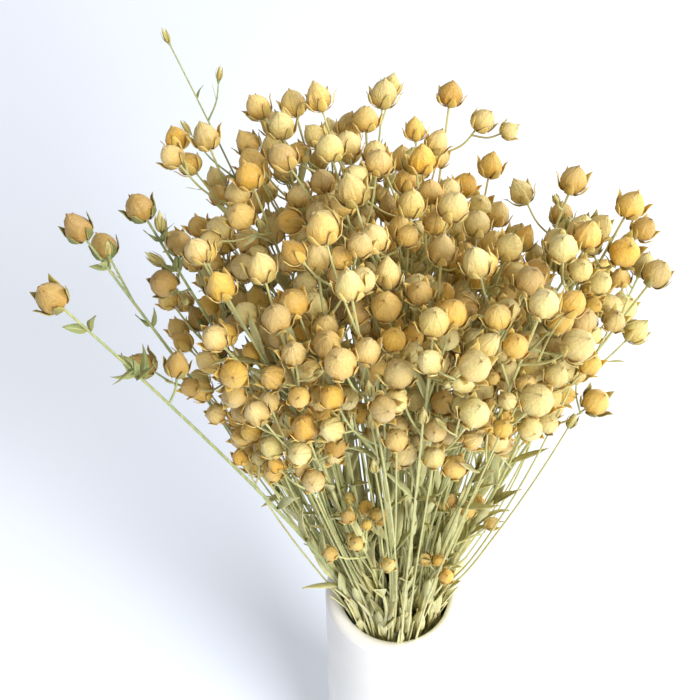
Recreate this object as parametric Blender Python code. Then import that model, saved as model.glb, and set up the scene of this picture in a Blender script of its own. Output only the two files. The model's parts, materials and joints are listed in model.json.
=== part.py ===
"""A bunch of dried flax seed heads standing in a plain white ceramic vase.

The vase is one turned solid. Every flax stem is one solid: a thin stalk that stands on the vase's
floor, the arms that branch from it, a seed capsule with five pointed sepals on each end, and a few
narrow leaves. The stems fan out from the mouth and are kept clear of each other by a distance test.
Units are metres, +Z is up, and the origin is the middle of the vase's flat base.
"""

import math
import random

import bmesh
import bpy
import numpy as np
from mathutils import Vector

MM = 0.001

# The vase: a plain cylinder with a full round rim
VASE_HEIGHT = 200 * MM
VASE_RADIUS = 29 * MM
VASE_WALL = 6.5 * MM
VASE_FLOOR = 9 * MM
VASE_SIDES = 40
BORE_RADIUS = VASE_RADIUS - VASE_WALL
BASE_ROUND = 2 * MM
FLOOR_ROUND = 4 * MM
RIM_STEPS = 6
ROUND_STEPS = 2
SHARP_ANGLE = math.radians(40)

# A seed capsule: its body's width sets all its other sizes
CAPSULE_WIDTH = 8 * MM
CAPSULE_LENGTH = 1.12 * CAPSULE_WIDTH
CAPSULE_SHOULDER = 0.70 * CAPSULE_WIDTH
SEPAL_TIP_RADIUS = 0.61 * CAPSULE_WIDTH
SEPAL_TIP_RISE = 0.50 * CAPSULE_WIDTH
SEPAL_NOTCH_RADIUS = 0.41 * CAPSULE_WIDTH
SEPAL_NOTCH_RISE = 0.22 * CAPSULE_WIDTH
SHOULDER_RADIUS = 0.43 * CAPSULE_WIDTH
SEPALS = 5
SMALLEST_CAPSULE = 0.84
LARGEST_CAPSULE = 1.10

# In the distance test, a capsule with its sepals is a short fat rod
ROD_START = 0.44 * CAPSULE_WIDTH
ROD_END = 0.66 * CAPSULE_WIDTH
ROD_RADIUS = 0.59 * CAPSULE_WIDTH

# Stalks and arms
STALK_SIDES = 3
STALK_FOOT_RADIUS = 1.1 * MM
STALK_TIP_RADIUS = 0.6 * MM
STALK_RING_SPACING = 42 * MM
MIDDLE_RING = 0.45
ARM_ROOT_RADIUS = 0.38 * MM
ARM_KNEE_RADIUS = 0.55 * MM
ARM_TIP_RADIUS = 0.45 * MM
FOOT_GAP = 0.3 * MM
CLEARANCE = 0.45 * MM

# Leaves: narrow blades, thickest along the rib
LEAF_LENGTH = 19 * MM
LEAF_HALF_WIDTH = 1.3 * MM
LEAF_HALF_THICKNESS = 0.4 * MM
LEAF_WIDEST = 0.42
LEAF_ARCH = 0.10
LEAF_SIZES = (0.70, 1.15)
LEAF_LEAN = (0.35, 0.75)
LEAF_ZONE = (0.12, 0.62)

# The fan: how wide the bunch is at a height above the mouth, and how it leans
MOUTH_SPREAD = 18.5 * MM
FAN_SLOPE = 0.300
FAN_DEPTH_SLOPE = 0.215
FAN_BEND = 25 * MM
LEAN_LEFT = -0.050
LEAN_BACK = 0.085
SWAY = 2.0 * MM
SWAY_LENGTH = 75 * MM
BOW = 8 * MM
STALK_TRIES = 25
STALK_TRIM = 0.8 * MM

# The crown: how high the stalks reach above the mouth
CROWN_HEIGHT = 220 * MM
CROWN_TILT = 24 * MM
CROWN_DOME = 18 * MM
CROWN_RAGGED = 11 * MM
BACK_RIGHT_DROP = 100 * MM
BACK_RISE = 16 * MM
BACK_SHIFT = 0.9
LOW_DROP = 40 * MM
LOW_SHARE = 0.20
LOW_IN_FRONT = 0.30
LOW_AT_LEFT = 0.25
LOW_SCALE = 0.92
FREE_STEMS = 33
STEM_SPACING = 0.25
SPACING_ROUNDS = 60
GOLDEN_ANGLE = math.radians(137.508)

# Arms along a stalk: the lowest are the longest and the steepest
ARMS_DEPTH = 100 * MM
ARMS_TOP = 14 * MM
ARMS_EACH = 5
ARM_SHORTEST = 19 * MM
ARM_GROWTH = 0.42
ARM_LENGTHS = (0.75, 1.15)
ARM_REACH = (10 * MM, 24 * MM)
ARM_WIDEST_LEAN = 0.9
ARM_TURN = 0.9
ARM_TURN_GROWTH = 0.1
ARM_UPTURN = 0.55
ARM_SKYWARD = 0.25
ARM_SLIP = 6 * MM
NEARBY = 5 * MM
ARM_TRIES = 90
ARM_SHRINK = 0.4

SEED = 225


class Stem:
    """One stalk's place in the bunch. Its place is 1 from the middle at the rim of the bunch."""

    def __init__(
        self, place, top, arms, reach=(0, 0), scale=1, leaves=2, depth=ARMS_DEPTH, arm_share=1
    ):
        self.place = Vector(place)
        self.top = top
        self.arms = arms
        self.reach = Vector(reach)
        self.scale = scale
        self.leaves = leaves
        self.depth = depth
        self.arm_share = arm_share
        self.bow = Vector((0, 0))
        self.path = []
        self.radii = []
        self.shoots = []
        self.blades = []

    def at(self, height):
        """The stalk's middle at a height above the mouth, which is below 0 inside the vase."""
        rise = max(height, 0)
        share = rise / self.top
        sway = SWAY * math.sin(rise / SWAY_LENGTH)
        x = LEAN_LEFT * rise + sway + self.place.x * spread(height, FAN_SLOPE)
        y = LEAN_BACK * rise - sway + self.place.y * spread(height, FAN_DEPTH_SLOPE)
        x += self.reach.x * share**2 + self.bow.x * math.sin(math.pi * share)
        y += self.reach.y * share**2 + self.bow.y * math.sin(math.pi * share)
        return Vector((x, y, VASE_HEIGHT + height))


def on_stalk(stem, height):
    """The point at this height on the straight stretch between two of the stalk's rings."""
    goal = VASE_HEIGHT + height
    for lower, upper in zip(stem.path, stem.path[1:]):
        if goal <= upper.z:
            break
    return lower.lerp(upper, (goal - lower.z) / (upper.z - lower.z))


def spread(height, slope):
    """The bunch's radius: nearly constant inside the vase, then opening at a constant slope."""
    opening = math.log1p(math.exp(height / FAN_BEND)) - math.log(2)
    return MOUTH_SPREAD + slope * FAN_BEND * opening


# The stems that stand out of the crown, each by its place, its height and how far its tip reaches
STRAY_STEMS = [
    # The long stem that leans out furthest, low on the left
    Stem((-0.80, -0.74), 248 * MM, 1, (-10 * MM, -14 * MM), 1, 4, 88 * MM, 0.35),
    # Two more on the left, above it
    Stem((-0.98, -0.22), 218 * MM, 2, (-9 * MM, 1 * MM), leaves=3, arm_share=0.5),
    Stem((-0.90, 0.08), 216 * MM, 3, (1 * MM, -8 * MM), arm_share=0.5),
    # The thin bare sprig at the back left, with buds only
    Stem((-0.66, 0.84), 222 * MM, 2, (-14 * MM, 14 * MM), 0.55, 3, 60 * MM),
    # A group at the back right
    Stem((0.32, 1.05), 200 * MM, 5, (0, 2 * MM), arm_share=0.6),
    Stem((0.50, 0.88), 182 * MM, 4, (2 * MM, 2 * MM), arm_share=0.7),
    # One alone at the right, and three that end the crown there
    Stem((0.66, 0.14), 214 * MM, 1, (7 * MM, 1 * MM), arm_share=0.5),
    Stem((0.95, -0.12), 220 * MM, 5, (-2 * MM, 2 * MM), arm_share=0.8),
    Stem((0.92, 0.20), 192 * MM, 4, (2 * MM, 2 * MM), arm_share=0.6),
    Stem((0.99, -0.38), 207 * MM, 5, (5 * MM, 3 * MM), 1, 2, 80 * MM, 0.7),
    # Short sprigs that hardly leave the mouth
    Stem((0.80, -0.58), 84 * MM, 3, (-5 * MM, 2 * MM), 0.70, 1, 40 * MM, 0.75),
    Stem((-0.28, -0.96), 112 * MM, 5, (-2 * MM, 0), 0.62, 1, 42 * MM, 0.85),
]


# Keeps the distance between parallel rods from a division by zero
NEVER_ZERO = 1e-18


class Room:
    """Everything placed so far, as rods with a radius, so that new pieces can be kept clear."""

    def __init__(self):
        self.starts = np.empty((0, 3))
        self.ends = np.empty((0, 3))
        self.radii = np.empty(0)
        self.owners = np.empty(0, int)

    def gap(self, start, end, radius, owner=-1):
        """The least gap from a rod to all that is placed, leaving out what the owner placed."""
        others = self.owners != owner
        if not others.any():
            return math.inf
        starts = self.starts[others]
        along = np.array(end) - np.array(start)
        theirs = self.ends[others] - starts
        between = np.array(start) - starts
        own = along @ along
        other = (theirs * theirs).sum(axis=1)
        both = theirs @ along
        mine = between @ along
        yours = (theirs * between).sum(axis=1)
        parallel = np.maximum(own * other - both * both, NEVER_ZERO)
        share = np.clip((both * yours - mine * other) / parallel, 0, 1)
        where = np.clip((both * share + yours) / other, 0, 1)
        share = np.clip((both * where - mine) / own, 0, 1)
        apart = between + share[:, None] * along - where[:, None] * theirs
        return float((np.linalg.norm(apart, axis=1) - self.radii[others]).min()) - radius

    def add(self, rods, owner):
        self.starts = np.vstack([self.starts, [rod[0] for rod in rods]])
        self.ends = np.vstack([self.ends, [rod[1] for rod in rods]])
        self.radii = np.append(self.radii, [rod[2] for rod in rods])
        self.owners = np.append(self.owners, [owner] * len(rods))


def stalk_heights(stem):
    """The heights of a stalk's rings: few inside the vase, closer together in the fan."""
    foot = VASE_FLOOR + FOOT_GAP - VASE_HEIGHT
    inside = [foot, MIDDLE_RING * foot, 0]
    steps = max(2, round(stem.top / STALK_RING_SPACING))
    return inside + [stem.top * step / steps for step in range(1, steps + 1)]


def stalk_radius(stem, height):
    """A stalk's radius, which shrinks from its foot to its tip."""
    share = max(height, 0) / stem.top
    return STALK_FOOT_RADIUS + (STALK_TIP_RADIUS - STALK_FOOT_RADIUS) * share


def capsule_rod(base, axis, scale):
    """The short fat rod that stands for a capsule and its sepals in the distance test."""
    return (base + axis * ROD_START * scale, base + axis * ROD_END * scale, ROD_RADIUS * scale)


def place_stems(draw):
    """The stems' places: the stray ones as given, and the rest in a spiral, pushed evenly apart."""
    stems = list(STRAY_STEMS)
    for count in range(FREE_STEMS):
        radius = math.sqrt((count + 0.5) / FREE_STEMS)
        angle = count * GOLDEN_ANGLE
        place = Vector((radius * math.cos(angle), radius * math.sin(angle)))
        low = draw.random() < LOW_SHARE - LOW_IN_FRONT * place.y - LOW_AT_LEFT * place.x
        top = CROWN_HEIGHT - CROWN_TILT * place.y - CROWN_DOME * place.length_squared
        top -= BACK_RIGHT_DROP * max(place.x, 0) * max(place.y, 0)
        top += BACK_RISE * max(BACK_SHIFT - place.x, 0) * max(place.y, 0)
        top += draw.uniform(-CROWN_RAGGED, CROWN_RAGGED)
        if low:
            top -= LOW_DROP
        stems.append(Stem(place, top, ARMS_EACH, scale=LOW_SCALE if low else 1, leaves=1 + count % 2))
    free = stems[len(STRAY_STEMS):]
    for _ in range(SPACING_ROUNDS):
        for stem in free:
            push = Vector((0, 0))
            for other in stems:
                apart = stem.place - other.place
                if other is not stem and apart.length < STEM_SPACING:
                    push += apart.normalized() * (STEM_SPACING - apart.length) / 2
            stem.place += push
            if stem.place.length > 1:
                stem.place.normalize()
    return stems


def place_stalks(stems, room, draw):
    """Bows each stalk sideways as far as its neighbours allow, and claims its room."""
    for number, stem in enumerate(stems):
        for attempt in range(STALK_TRIES):
            freedom = BOW * (1 - attempt / STALK_TRIES)
            stem.bow = Vector((draw.uniform(-freedom, freedom), draw.uniform(-freedom, freedom)))
            heights = stalk_heights(stem)
            stem.path = [stem.at(height) for height in heights]
            stem.radii = [stalk_radius(stem, height) for height in heights]
            axis = (stem.path[-1] - stem.path[-2]).normalized()
            rods = list(zip(stem.path, stem.path[1:], stem.radii))
            rods.append(capsule_rod(stem.path[-1], axis, stem.scale))
            if min(room.gap(*rod) for rod in rods) > CLEARANCE:
                break
            stem.top -= STALK_TRIM
        room.add(rods, number)


def place_arms(stems, room, draw):
    """Grows each stalk's arms, each the first of many tries that stays clear of all the rest."""
    for number, stem in enumerate(stems):
        turn = draw.uniform(0, 2 * math.pi)
        for count in range(stem.arms):
            share = (count + 0.5) / stem.arms
            depth = ARMS_TOP + (stem.depth - ARMS_TOP) * share
            for attempt in range(ARM_TRIES):
                rise = stem.top - depth + draw.uniform(-ARM_SLIP, ARM_SLIP)
                length = (ARM_SHORTEST + ARM_GROWTH * depth) * stem.scale * stem.arm_share
                length *= draw.uniform(*ARM_LENGTHS) * (1 - ARM_SHRINK * attempt / ARM_TRIES)
                turn_limit = ARM_TURN * (1 + ARM_TURN_GROWTH * attempt)
                side = turn + count * GOLDEN_ANGLE + draw.uniform(-turn_limit, turn_limit)
                scale = stem.scale * draw.uniform(SMALLEST_CAPSULE, LARGEST_CAPSULE)
                lean = min(draw.uniform(*ARM_REACH) / length, ARM_WIDEST_LEAN)
                path = arm_path(stem, rise, length, side, lean)
                axis = (path[-1] - path[-2]).normalized()
                first = (path[0], path[1], ARM_KNEE_RADIUS)
                rest = (path[1], path[2], ARM_KNEE_RADIUS)
                body = capsule_rod(path[-1], axis, scale)
                near_root = room.gap(*first, owner=number)
                if min(near_root, room.gap(*rest), room.gap(*body)) > CLEARANCE:
                    room.add([first, rest, body], number)
                    stem.shoots.append((path, scale))
                    break


def leaving(stem, rise, side, lean):
    """The stalk's direction at a height, and that of what leaves it there to this side."""
    up = (stem.at(rise + NEARBY) - stem.at(rise - NEARBY)).normalized()
    across = up.orthogonal().normalized()
    out = across * math.cos(side) + up.cross(across) * math.sin(side)
    return up, out * math.sin(lean) + up * math.cos(lean)


def arm_path(stem, rise, length, side, lean):
    """An arm's points: out of the stalk at an angle, then bending up towards the stalk's line."""
    root = on_stalk(stem, rise)
    up, leave = leaving(stem, rise, side, lean)
    knee = root + leave * length / 2
    ahead = (leave + ARM_UPTURN * up + ARM_SKYWARD * Vector((0, 0, 1))).normalized()
    return [root, knee, knee + ahead * length / 2]


def frames(path):
    """A side direction across each point of a path, carried along it without twisting."""
    side = (path[1] - path[0]).orthogonal().normalized()
    result = []
    for index, point in enumerate(path):
        before = path[max(index - 1, 0)]
        after = path[min(index + 1, len(path) - 1)]
        along = (after - before).normalized()
        side = (side - along * side.dot(along)).normalized()
        result.append((point, side, along.cross(side), along))
    return result


def ring(mesh, frame, radii, rises, turn=0.0):
    """A ring of points round a frame, one for each radius and rise along the frame's direction."""
    centre, side, across, along = frame
    points = []
    for index, (radius, rise) in enumerate(zip(radii, rises)):
        angle = turn + 2 * math.pi * index / len(radii)
        offset = side * math.cos(angle) + across * math.sin(angle)
        points.append(mesh.verts.new(centre + offset * radius + along * rise))
    return points


def bridge(mesh, lower, upper):
    """Joins two rings, which may have unequal counts, with a band of triangles."""
    low = high = 0
    while low < len(lower) or high < len(upper):
        here = lower[low % len(lower)]
        there = upper[high % len(upper)]
        if high >= len(upper) or (low + 1) / len(lower) <= (high + 1) / len(upper) and low < len(lower):
            low += 1
            mesh.faces.new((here, lower[low % len(lower)], there))
        else:
            high += 1
            mesh.faces.new((here, upper[high % len(upper)], there))


def add_shoot(mesh, path, radii, scale):
    """A stalk or an arm, lofted into the capsule on its tip."""
    steps = frames(path)
    lower = ring(mesh, steps[0], [radii[0]] * STALK_SIDES, [0] * STALK_SIDES)
    mesh.faces.new(lower[::-1])
    for frame, radius in zip(steps[1:], radii[1:]):
        upper = ring(mesh, frame, [radius] * STALK_SIDES, [0] * STALK_SIDES)
        bridge(mesh, lower, upper)
        lower = upper
    neck = steps[-1]
    sepals = ring(
        mesh,
        neck,
        [SEPAL_TIP_RADIUS * scale, SEPAL_NOTCH_RADIUS * scale] * SEPALS,
        [SEPAL_TIP_RISE * scale, SEPAL_NOTCH_RISE * scale] * SEPALS,
    )
    bridge(mesh, lower, sepals)
    shoulder = ring(
        mesh,
        neck,
        [SHOULDER_RADIUS * scale] * SEPALS,
        [CAPSULE_SHOULDER * scale] * SEPALS,
        turn=math.pi / SEPALS,
    )
    centre, _, _, along = neck
    point = mesh.verts.new(centre + along * CAPSULE_LENGTH * scale)
    for index in range(SEPALS):
        tip = sepals[2 * index]
        notch = sepals[2 * index + 1]
        next_tip = sepals[(2 * index + 2) % (2 * SEPALS)]
        here = shoulder[index]
        before = shoulder[index - 1]
        mesh.faces.new((tip, notch, here))
        mesh.faces.new((notch, next_tip, here))
        mesh.faces.new((tip, here, before))
        mesh.faces.new((before, here, point))


def add_leaf(mesh, root, along, side, length):
    """A narrow pointed blade, thickest along its rib, with its root inside the stalk."""
    normal = along.cross(side)
    arch = normal * length * LEAF_ARCH
    middle = root + along * length * LEAF_WIDEST + arch * LEAF_WIDEST
    tip = mesh.verts.new(root + along * length + arch)
    foot = mesh.verts.new(root)
    belt = [
        mesh.verts.new(middle + side * LEAF_HALF_WIDTH),
        mesh.verts.new(middle + normal * LEAF_HALF_THICKNESS),
        mesh.verts.new(middle - side * LEAF_HALF_WIDTH),
        mesh.verts.new(middle - normal * LEAF_HALF_THICKNESS),
    ]
    for index in range(4):
        here = belt[index]
        after = belt[(index + 1) % 4]
        mesh.faces.new((here, after, tip))
        mesh.faces.new((after, here, foot))


def place_leaves(stems, room, draw):
    """Sets each stem's leaves on the lower half of its fan, each where it stays clear."""
    for number, stem in enumerate(stems):
        for count in range(stem.leaves):
            for attempt in range(ARM_TRIES):
                rise = stem.top * draw.uniform(*LEAF_ZONE)
                angle = draw.uniform(0, 2 * math.pi)
                up, along = leaving(stem, rise, angle, draw.uniform(*LEAF_LEAN))
                length = LEAF_LENGTH * draw.uniform(*LEAF_SIZES)
                root = on_stalk(stem, rise)
                middle = root + along * length * LEAF_WIDEST
                end = root + along * length
                near = room.gap(root, middle, LEAF_HALF_WIDTH, owner=number)
                far = room.gap(middle, end, LEAF_HALF_WIDTH)
                if min(near, far) > CLEARANCE:
                    side = up.cross(along).normalized()
                    stem.blades.append((root, along, side, length))
                    room.add([(root, middle, LEAF_HALF_WIDTH), (middle, end, LEAF_HALF_WIDTH)], number)
                    break


def mesh_object(name, mesh, material):
    """A new object in the scene that holds this mesh."""
    data = bpy.data.meshes.new(name)
    mesh.to_mesh(data)
    mesh.free()
    data.materials.append(material)
    made = bpy.data.objects.new(name, data)
    bpy.context.scene.collection.objects.link(made)
    return made


def make_material(name, colour, roughness):
    material = bpy.data.materials.new(name)
    material.use_nodes = True
    shader = material.node_tree.nodes["Principled BSDF"]
    shader.inputs["Base Color"].default_value = (*colour, 1)
    shader.inputs["Roughness"].default_value = roughness
    shader.inputs["Metallic"].default_value = 0
    material.diffuse_color = (*colour, 1)
    return material


def join(stalk, pieces):
    """Fuses the arms and leaves into their stalk, and removes them."""
    group = bpy.data.collections.new("repeats")
    for piece in pieces:
        group.objects.link(piece)
    union = stalk.modifiers.new("join", "BOOLEAN")
    union.operation = "UNION"
    union.operand_type = "COLLECTION"
    union.collection = group
    union.solver = "EXACT"
    bpy.context.view_layer.update()
    seen = stalk.evaluated_get(bpy.context.evaluated_depsgraph_get())
    joined = bpy.data.meshes.new_from_object(seen)
    stalk.modifiers.clear()
    stalk.data = joined
    for piece in pieces:
        bpy.data.objects.remove(piece)
    bpy.data.collections.remove(group)


def make_stem(stem, name, material):
    """One leafy flax stem, as one solid."""
    mesh = bmesh.new()
    add_shoot(mesh, stem.path, stem.radii, stem.scale)
    stalk = mesh_object(name, mesh, material)
    pieces = []
    for path, scale in stem.shoots:
        mesh = bmesh.new()
        add_shoot(mesh, path, [ARM_ROOT_RADIUS, ARM_KNEE_RADIUS, ARM_TIP_RADIUS], scale)
        pieces.append(mesh_object("arm", mesh, material))
    for root, along, side, length in stem.blades:
        mesh = bmesh.new()
        add_leaf(mesh, root, along, side, length)
        pieces.append(mesh_object("leaf", mesh, material))
    join(stalk, pieces)
    return stalk


def vase_profile():
    """The vase's outline from the middle of its floor, up the bore, over the rim and down outside."""
    points = [(BORE_RADIUS - FLOOR_ROUND, VASE_FLOOR)]
    for step in range(1, ROUND_STEPS + 1):
        angle = math.pi / 2 * step / ROUND_STEPS
        radius = BORE_RADIUS - FLOOR_ROUND + FLOOR_ROUND * math.sin(angle)
        points.append((radius, VASE_FLOOR + FLOOR_ROUND * (1 - math.cos(angle))))
    rim = VASE_WALL / 2
    for step in range(RIM_STEPS + 1):
        angle = math.pi * step / RIM_STEPS
        radius = BORE_RADIUS + rim * (1 - math.cos(angle))
        points.append((radius, VASE_HEIGHT - rim + rim * math.sin(angle)))
    for step in range(ROUND_STEPS + 1):
        angle = math.pi / 2 * step / ROUND_STEPS
        radius = VASE_RADIUS - BASE_ROUND * (1 - math.cos(angle))
        points.append((radius, BASE_ROUND * (1 - math.sin(angle))))
    return points


def make_vase(material):
    """The vase, turned from its outline, with a flat floor and a flat base."""
    mesh = bmesh.new()
    rings = []
    for radius, height in vase_profile():
        turned = bmesh.ops.create_circle(mesh, segments=VASE_SIDES, radius=radius)["verts"]
        bmesh.ops.translate(mesh, verts=turned, vec=(0, 0, height))
        rings.append(turned)
    for inner, outer in zip(rings, rings[1:]):
        for index in range(VASE_SIDES):
            after = (index + 1) % VASE_SIDES
            mesh.faces.new((inner[index], inner[after], outer[after], outer[index]))
    mesh.faces.new(rings[0])
    mesh.faces.new(rings[-1])
    bmesh.ops.recalc_face_normals(mesh, faces=mesh.faces)
    vase = mesh_object("vase", mesh, material)
    vase.data.shade_smooth()
    vase.data.set_sharp_from_angle(angle=SHARP_ANGLE)
    return vase


def main():
    for old in list(bpy.data.objects):
        bpy.data.objects.remove(old)
    glaze = make_material("white_glaze", (0.86, 0.86, 0.85), 0.45)
    straw = make_material("dried_flax", (0.62, 0.44, 0.22), 0.8)
    make_vase(glaze)
    draw = random.Random(SEED)
    room = Room()
    stems = place_stems(draw)
    place_stalks(stems, room, draw)
    place_arms(stems, room, draw)
    place_leaves(stems, room, draw)
    for number, stem in enumerate(stems, 1):
        make_stem(stem, f"stem_{number:02d}", straw)


main()
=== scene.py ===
"""The looks of a bunch of dried flax seed heads in a plain white ceramic vase.

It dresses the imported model: the vase gets a smooth glazed body, and each flax stem becomes a thin
curved stalk with branching arms, papery seed capsules, pointed sepals, narrow leaves and buds.
Lengths are in metres. The vase stands on z = 0 with its axis at x = 0, y = 0.
"""

import json
import math
import random

import bmesh
import bpy
import numpy as np
from mathutils import Matrix, Vector

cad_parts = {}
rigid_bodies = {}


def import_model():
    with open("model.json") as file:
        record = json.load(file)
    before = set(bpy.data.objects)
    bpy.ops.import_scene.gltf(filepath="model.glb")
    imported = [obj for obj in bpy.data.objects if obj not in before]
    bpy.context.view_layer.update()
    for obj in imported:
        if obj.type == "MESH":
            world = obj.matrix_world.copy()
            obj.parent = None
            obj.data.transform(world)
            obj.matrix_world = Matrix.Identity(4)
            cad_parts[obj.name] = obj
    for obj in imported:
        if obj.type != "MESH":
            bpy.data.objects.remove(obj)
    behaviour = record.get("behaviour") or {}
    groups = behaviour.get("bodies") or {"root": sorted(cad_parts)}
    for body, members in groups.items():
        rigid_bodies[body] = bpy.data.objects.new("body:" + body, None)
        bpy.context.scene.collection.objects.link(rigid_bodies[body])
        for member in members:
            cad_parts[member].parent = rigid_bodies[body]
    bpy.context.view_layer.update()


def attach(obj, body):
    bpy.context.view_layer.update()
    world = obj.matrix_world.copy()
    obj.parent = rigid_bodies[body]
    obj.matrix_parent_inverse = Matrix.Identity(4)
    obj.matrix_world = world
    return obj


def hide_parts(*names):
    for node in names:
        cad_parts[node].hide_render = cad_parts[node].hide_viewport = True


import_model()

# The camera stands in front and well above, and looks down on the crown. Its place is worked out
# from the vase's mouth, whose middle shows right of and below the middle of the picture.
MM = 0.001
VASE_HEIGHT = 200 * MM
CAMERA_PITCH = math.radians(54)
CAMERA_LENS = 72
CAMERA_SENSOR = 36
CAMERA_NEAREST = 10 * MM
PICTURE_WIDTH = 700
MOUTH_DISTANCE = 583 * MM
MOUTH_RIGHT = 45 / PICTURE_WIDTH * CAMERA_SENSOR / CAMERA_LENS
MOUTH_DOWN = 239 / PICTURE_WIDTH * CAMERA_SENSOR / CAMERA_LENS

looks_along = Vector((0, math.cos(CAMERA_PITCH), -math.sin(CAMERA_PITCH)))
picture_up = Vector((0, math.sin(CAMERA_PITCH), math.cos(CAMERA_PITCH)))
picture_right = Vector((1, 0, 0))
mouth_from_camera = looks_along + picture_right * MOUTH_RIGHT - picture_up * MOUTH_DOWN
bpy.ops.object.camera_add(
    location=Vector((0, 0, VASE_HEIGHT)) - mouth_from_camera * MOUTH_DISTANCE,
    rotation=(math.pi / 2 - CAMERA_PITCH, 0, 0),
)
camera = bpy.context.object
camera.data.lens = CAMERA_LENS
camera.data.sensor_width = CAMERA_SENSOR
camera.data.clip_start = CAMERA_NEAREST
bpy.context.scene.camera = camera

# Soft daylight: a bright pale room, a broad window high in front on the right, and a weaker one
# at the right. Both face the bunch.
ROOM_COLOUR = (1.0, 0.96, 0.90, 1)
ROOM_STRENGTH = 0.46
BUNCH_MIDDLE = Vector((0, 0, 300 * MM))
WINDOWS = [
    # name, place, width, power, colour
    ("front_window", (1.25, -1.65, 2.10), 1.50, 99, (1.0, 0.985, 0.965)),
    ("right_window", (1.40, 0.90, 0.90), 0.80, 22, (1.0, 0.99, 0.97)),
]

bpy.context.scene.view_settings.view_transform = "Standard"
room_light = bpy.data.worlds.new("pale_room")
room_light.use_nodes = True
room_light.node_tree.nodes["Background"].inputs["Color"].default_value = ROOM_COLOUR
room_light.node_tree.nodes["Background"].inputs["Strength"].default_value = ROOM_STRENGTH
bpy.context.scene.world = room_light
for name, place, width, power, colour in WINDOWS:
    bpy.ops.object.light_add(type="AREA", location=place)
    window = bpy.context.object
    window.name = name
    window.data.shape = "DISK"
    window.data.size = width
    window.data.energy = power
    window.data.color = colour
    aim = BUNCH_MIDDLE - Vector(place)
    window.rotation_euler = aim.to_track_quat("-Z", "Y").to_euler()


# The floor is a plain pale sheet, not part of the object. Its finish is a faintly mottled matt
# white, built with the same few calls that every later finish uses.
FLOOR_WIDTH = 6.0
FLOOR_MIDDLE = (0, 0.6, 0)
FLOOR_PALE = (0.73, 0.79, 0.91, 1)
FLOOR_PALER = (0.76, 0.82, 0.93, 1)
FLOOR_ROUGHNESS = 0.9
MOTTLES_TO_A_METRE = 3.0


class Nodes:
    """A node tree, with short calls for the few kinds of node that the finishes are made of."""

    def __init__(self, tree):
        self.tree = tree

    def join(self, value, socket):
        """Links another socket to this one, or sets a plain number or colour on it."""
        if isinstance(value, bpy.types.NodeSocket):
            self.tree.links.new(value, socket)
        else:
            socket.default_value = value

    def add(self, kind, values=None, **settings):
        """A new node, with its settings and the inputs that values names."""
        node = self.tree.nodes.new(kind)
        for setting, value in settings.items():
            setattr(node, setting, value)
        for socket, value in (values or {}).items():
            self.join(value, node.inputs[socket])
        return node

    def math(self, operation, *values):
        """The result of a sum on one, two or three values."""
        return self.add("ShaderNodeMath", dict(enumerate(values)), operation=operation).outputs[0]

    def distance(self, value, middle):
        """How far a value lies from the middle, on either side of it."""
        return self.math("ABSOLUTE", self.math("SUBTRACT", value, middle))

    def remap(self, value, low, high, new_low, new_high):
        """The value carried smoothly from one range to another, and held at its ends."""
        inputs = {0: value, 1: low, 2: high, 3: new_low, 4: new_high}
        return self.add("ShaderNodeMapRange", inputs, interpolation_type="SMOOTHSTEP").outputs[0]

    def noise(self, place, scale, detail=2.0):
        """Cloudy noise, with about this many clouds to each unit of the place."""
        inputs = {"Vector": place, "Scale": scale, "Detail": detail}
        return self.add("ShaderNodeTexNoise", inputs).outputs["Fac"]

    def split(self, kind, socket, value):
        """The three parts of a colour or of a place."""
        return self.add(f"ShaderNodeSeparate{kind}", {socket: value}).outputs


class Finish(Nodes):
    """A material: a skin colour with layers laid over it, its gloss and its relief."""

    def __init__(self, name, colour):
        self.material = bpy.data.materials.new(name)
        self.material.use_nodes = True
        super().__init__(self.material.node_tree)
        self.shader = self.tree.nodes["Principled BSDF"]
        self.place = self.add("ShaderNodeTexCoord").outputs["Object"]
        self.skin = colour

    def lay(self, colour, *shares):
        """Lays a colour over the skin, as thick as its share, or as the product of two shares."""
        share = self.math("MULTIPLY", *shares) if len(shares) == 2 else shares[0]
        mixed = {0: share, 6: self.skin, 7: colour}
        self.skin = self.add("ShaderNodeMix", mixed, data_type="RGBA").outputs[2]

    def set(self, socket, value):
        """Gives the shader a value, plain or from a node."""
        self.join(value, self.shader.inputs[socket])

    def emboss(self, height, strength, depth):
        """Ends the finish with its colour and a fine relief."""
        inputs = {"Height": height, "Strength": strength, "Distance": depth}
        self.set("Base Color", self.skin)
        self.set("Normal", self.add("ShaderNodeBump", inputs).outputs["Normal"])


bpy.ops.object.select_all(action="DESELECT")
bpy.ops.mesh.primitive_plane_add(size=FLOOR_WIDTH, location=FLOOR_MIDDLE)
floor = bpy.context.object
floor.name = "floor"
matt = Finish("pale_floor", FLOOR_PALE)
mottles = matt.noise(matt.place, MOTTLES_TO_A_METRE)
matt.lay(FLOOR_PALER, matt.remap(mottles, 0.3, 0.7, 0, 1))
matt.set("Base Color", matt.skin)
matt.set("Roughness", FLOOR_ROUGHNESS)
floor.data.materials.append(matt.material)


# The vase is one thick-walled white ceramic cylinder with a full round rim, a deep bore and a flat
# foot. It was cast in one piece, and its satin white glaze is slightly uneven in colour and gloss.
VASE_RADIUS = 29 * MM
VASE_WALL = 6.5 * MM
VASE_FLOOR = 9 * MM
VASE_SIDES = 96
BASE_ROUND = 2 * MM
FLOOR_ROUND = 4 * MM
RIM_STEPS = 10
ROUND_STEPS = 5
FACING_UP = 0.9
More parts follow.
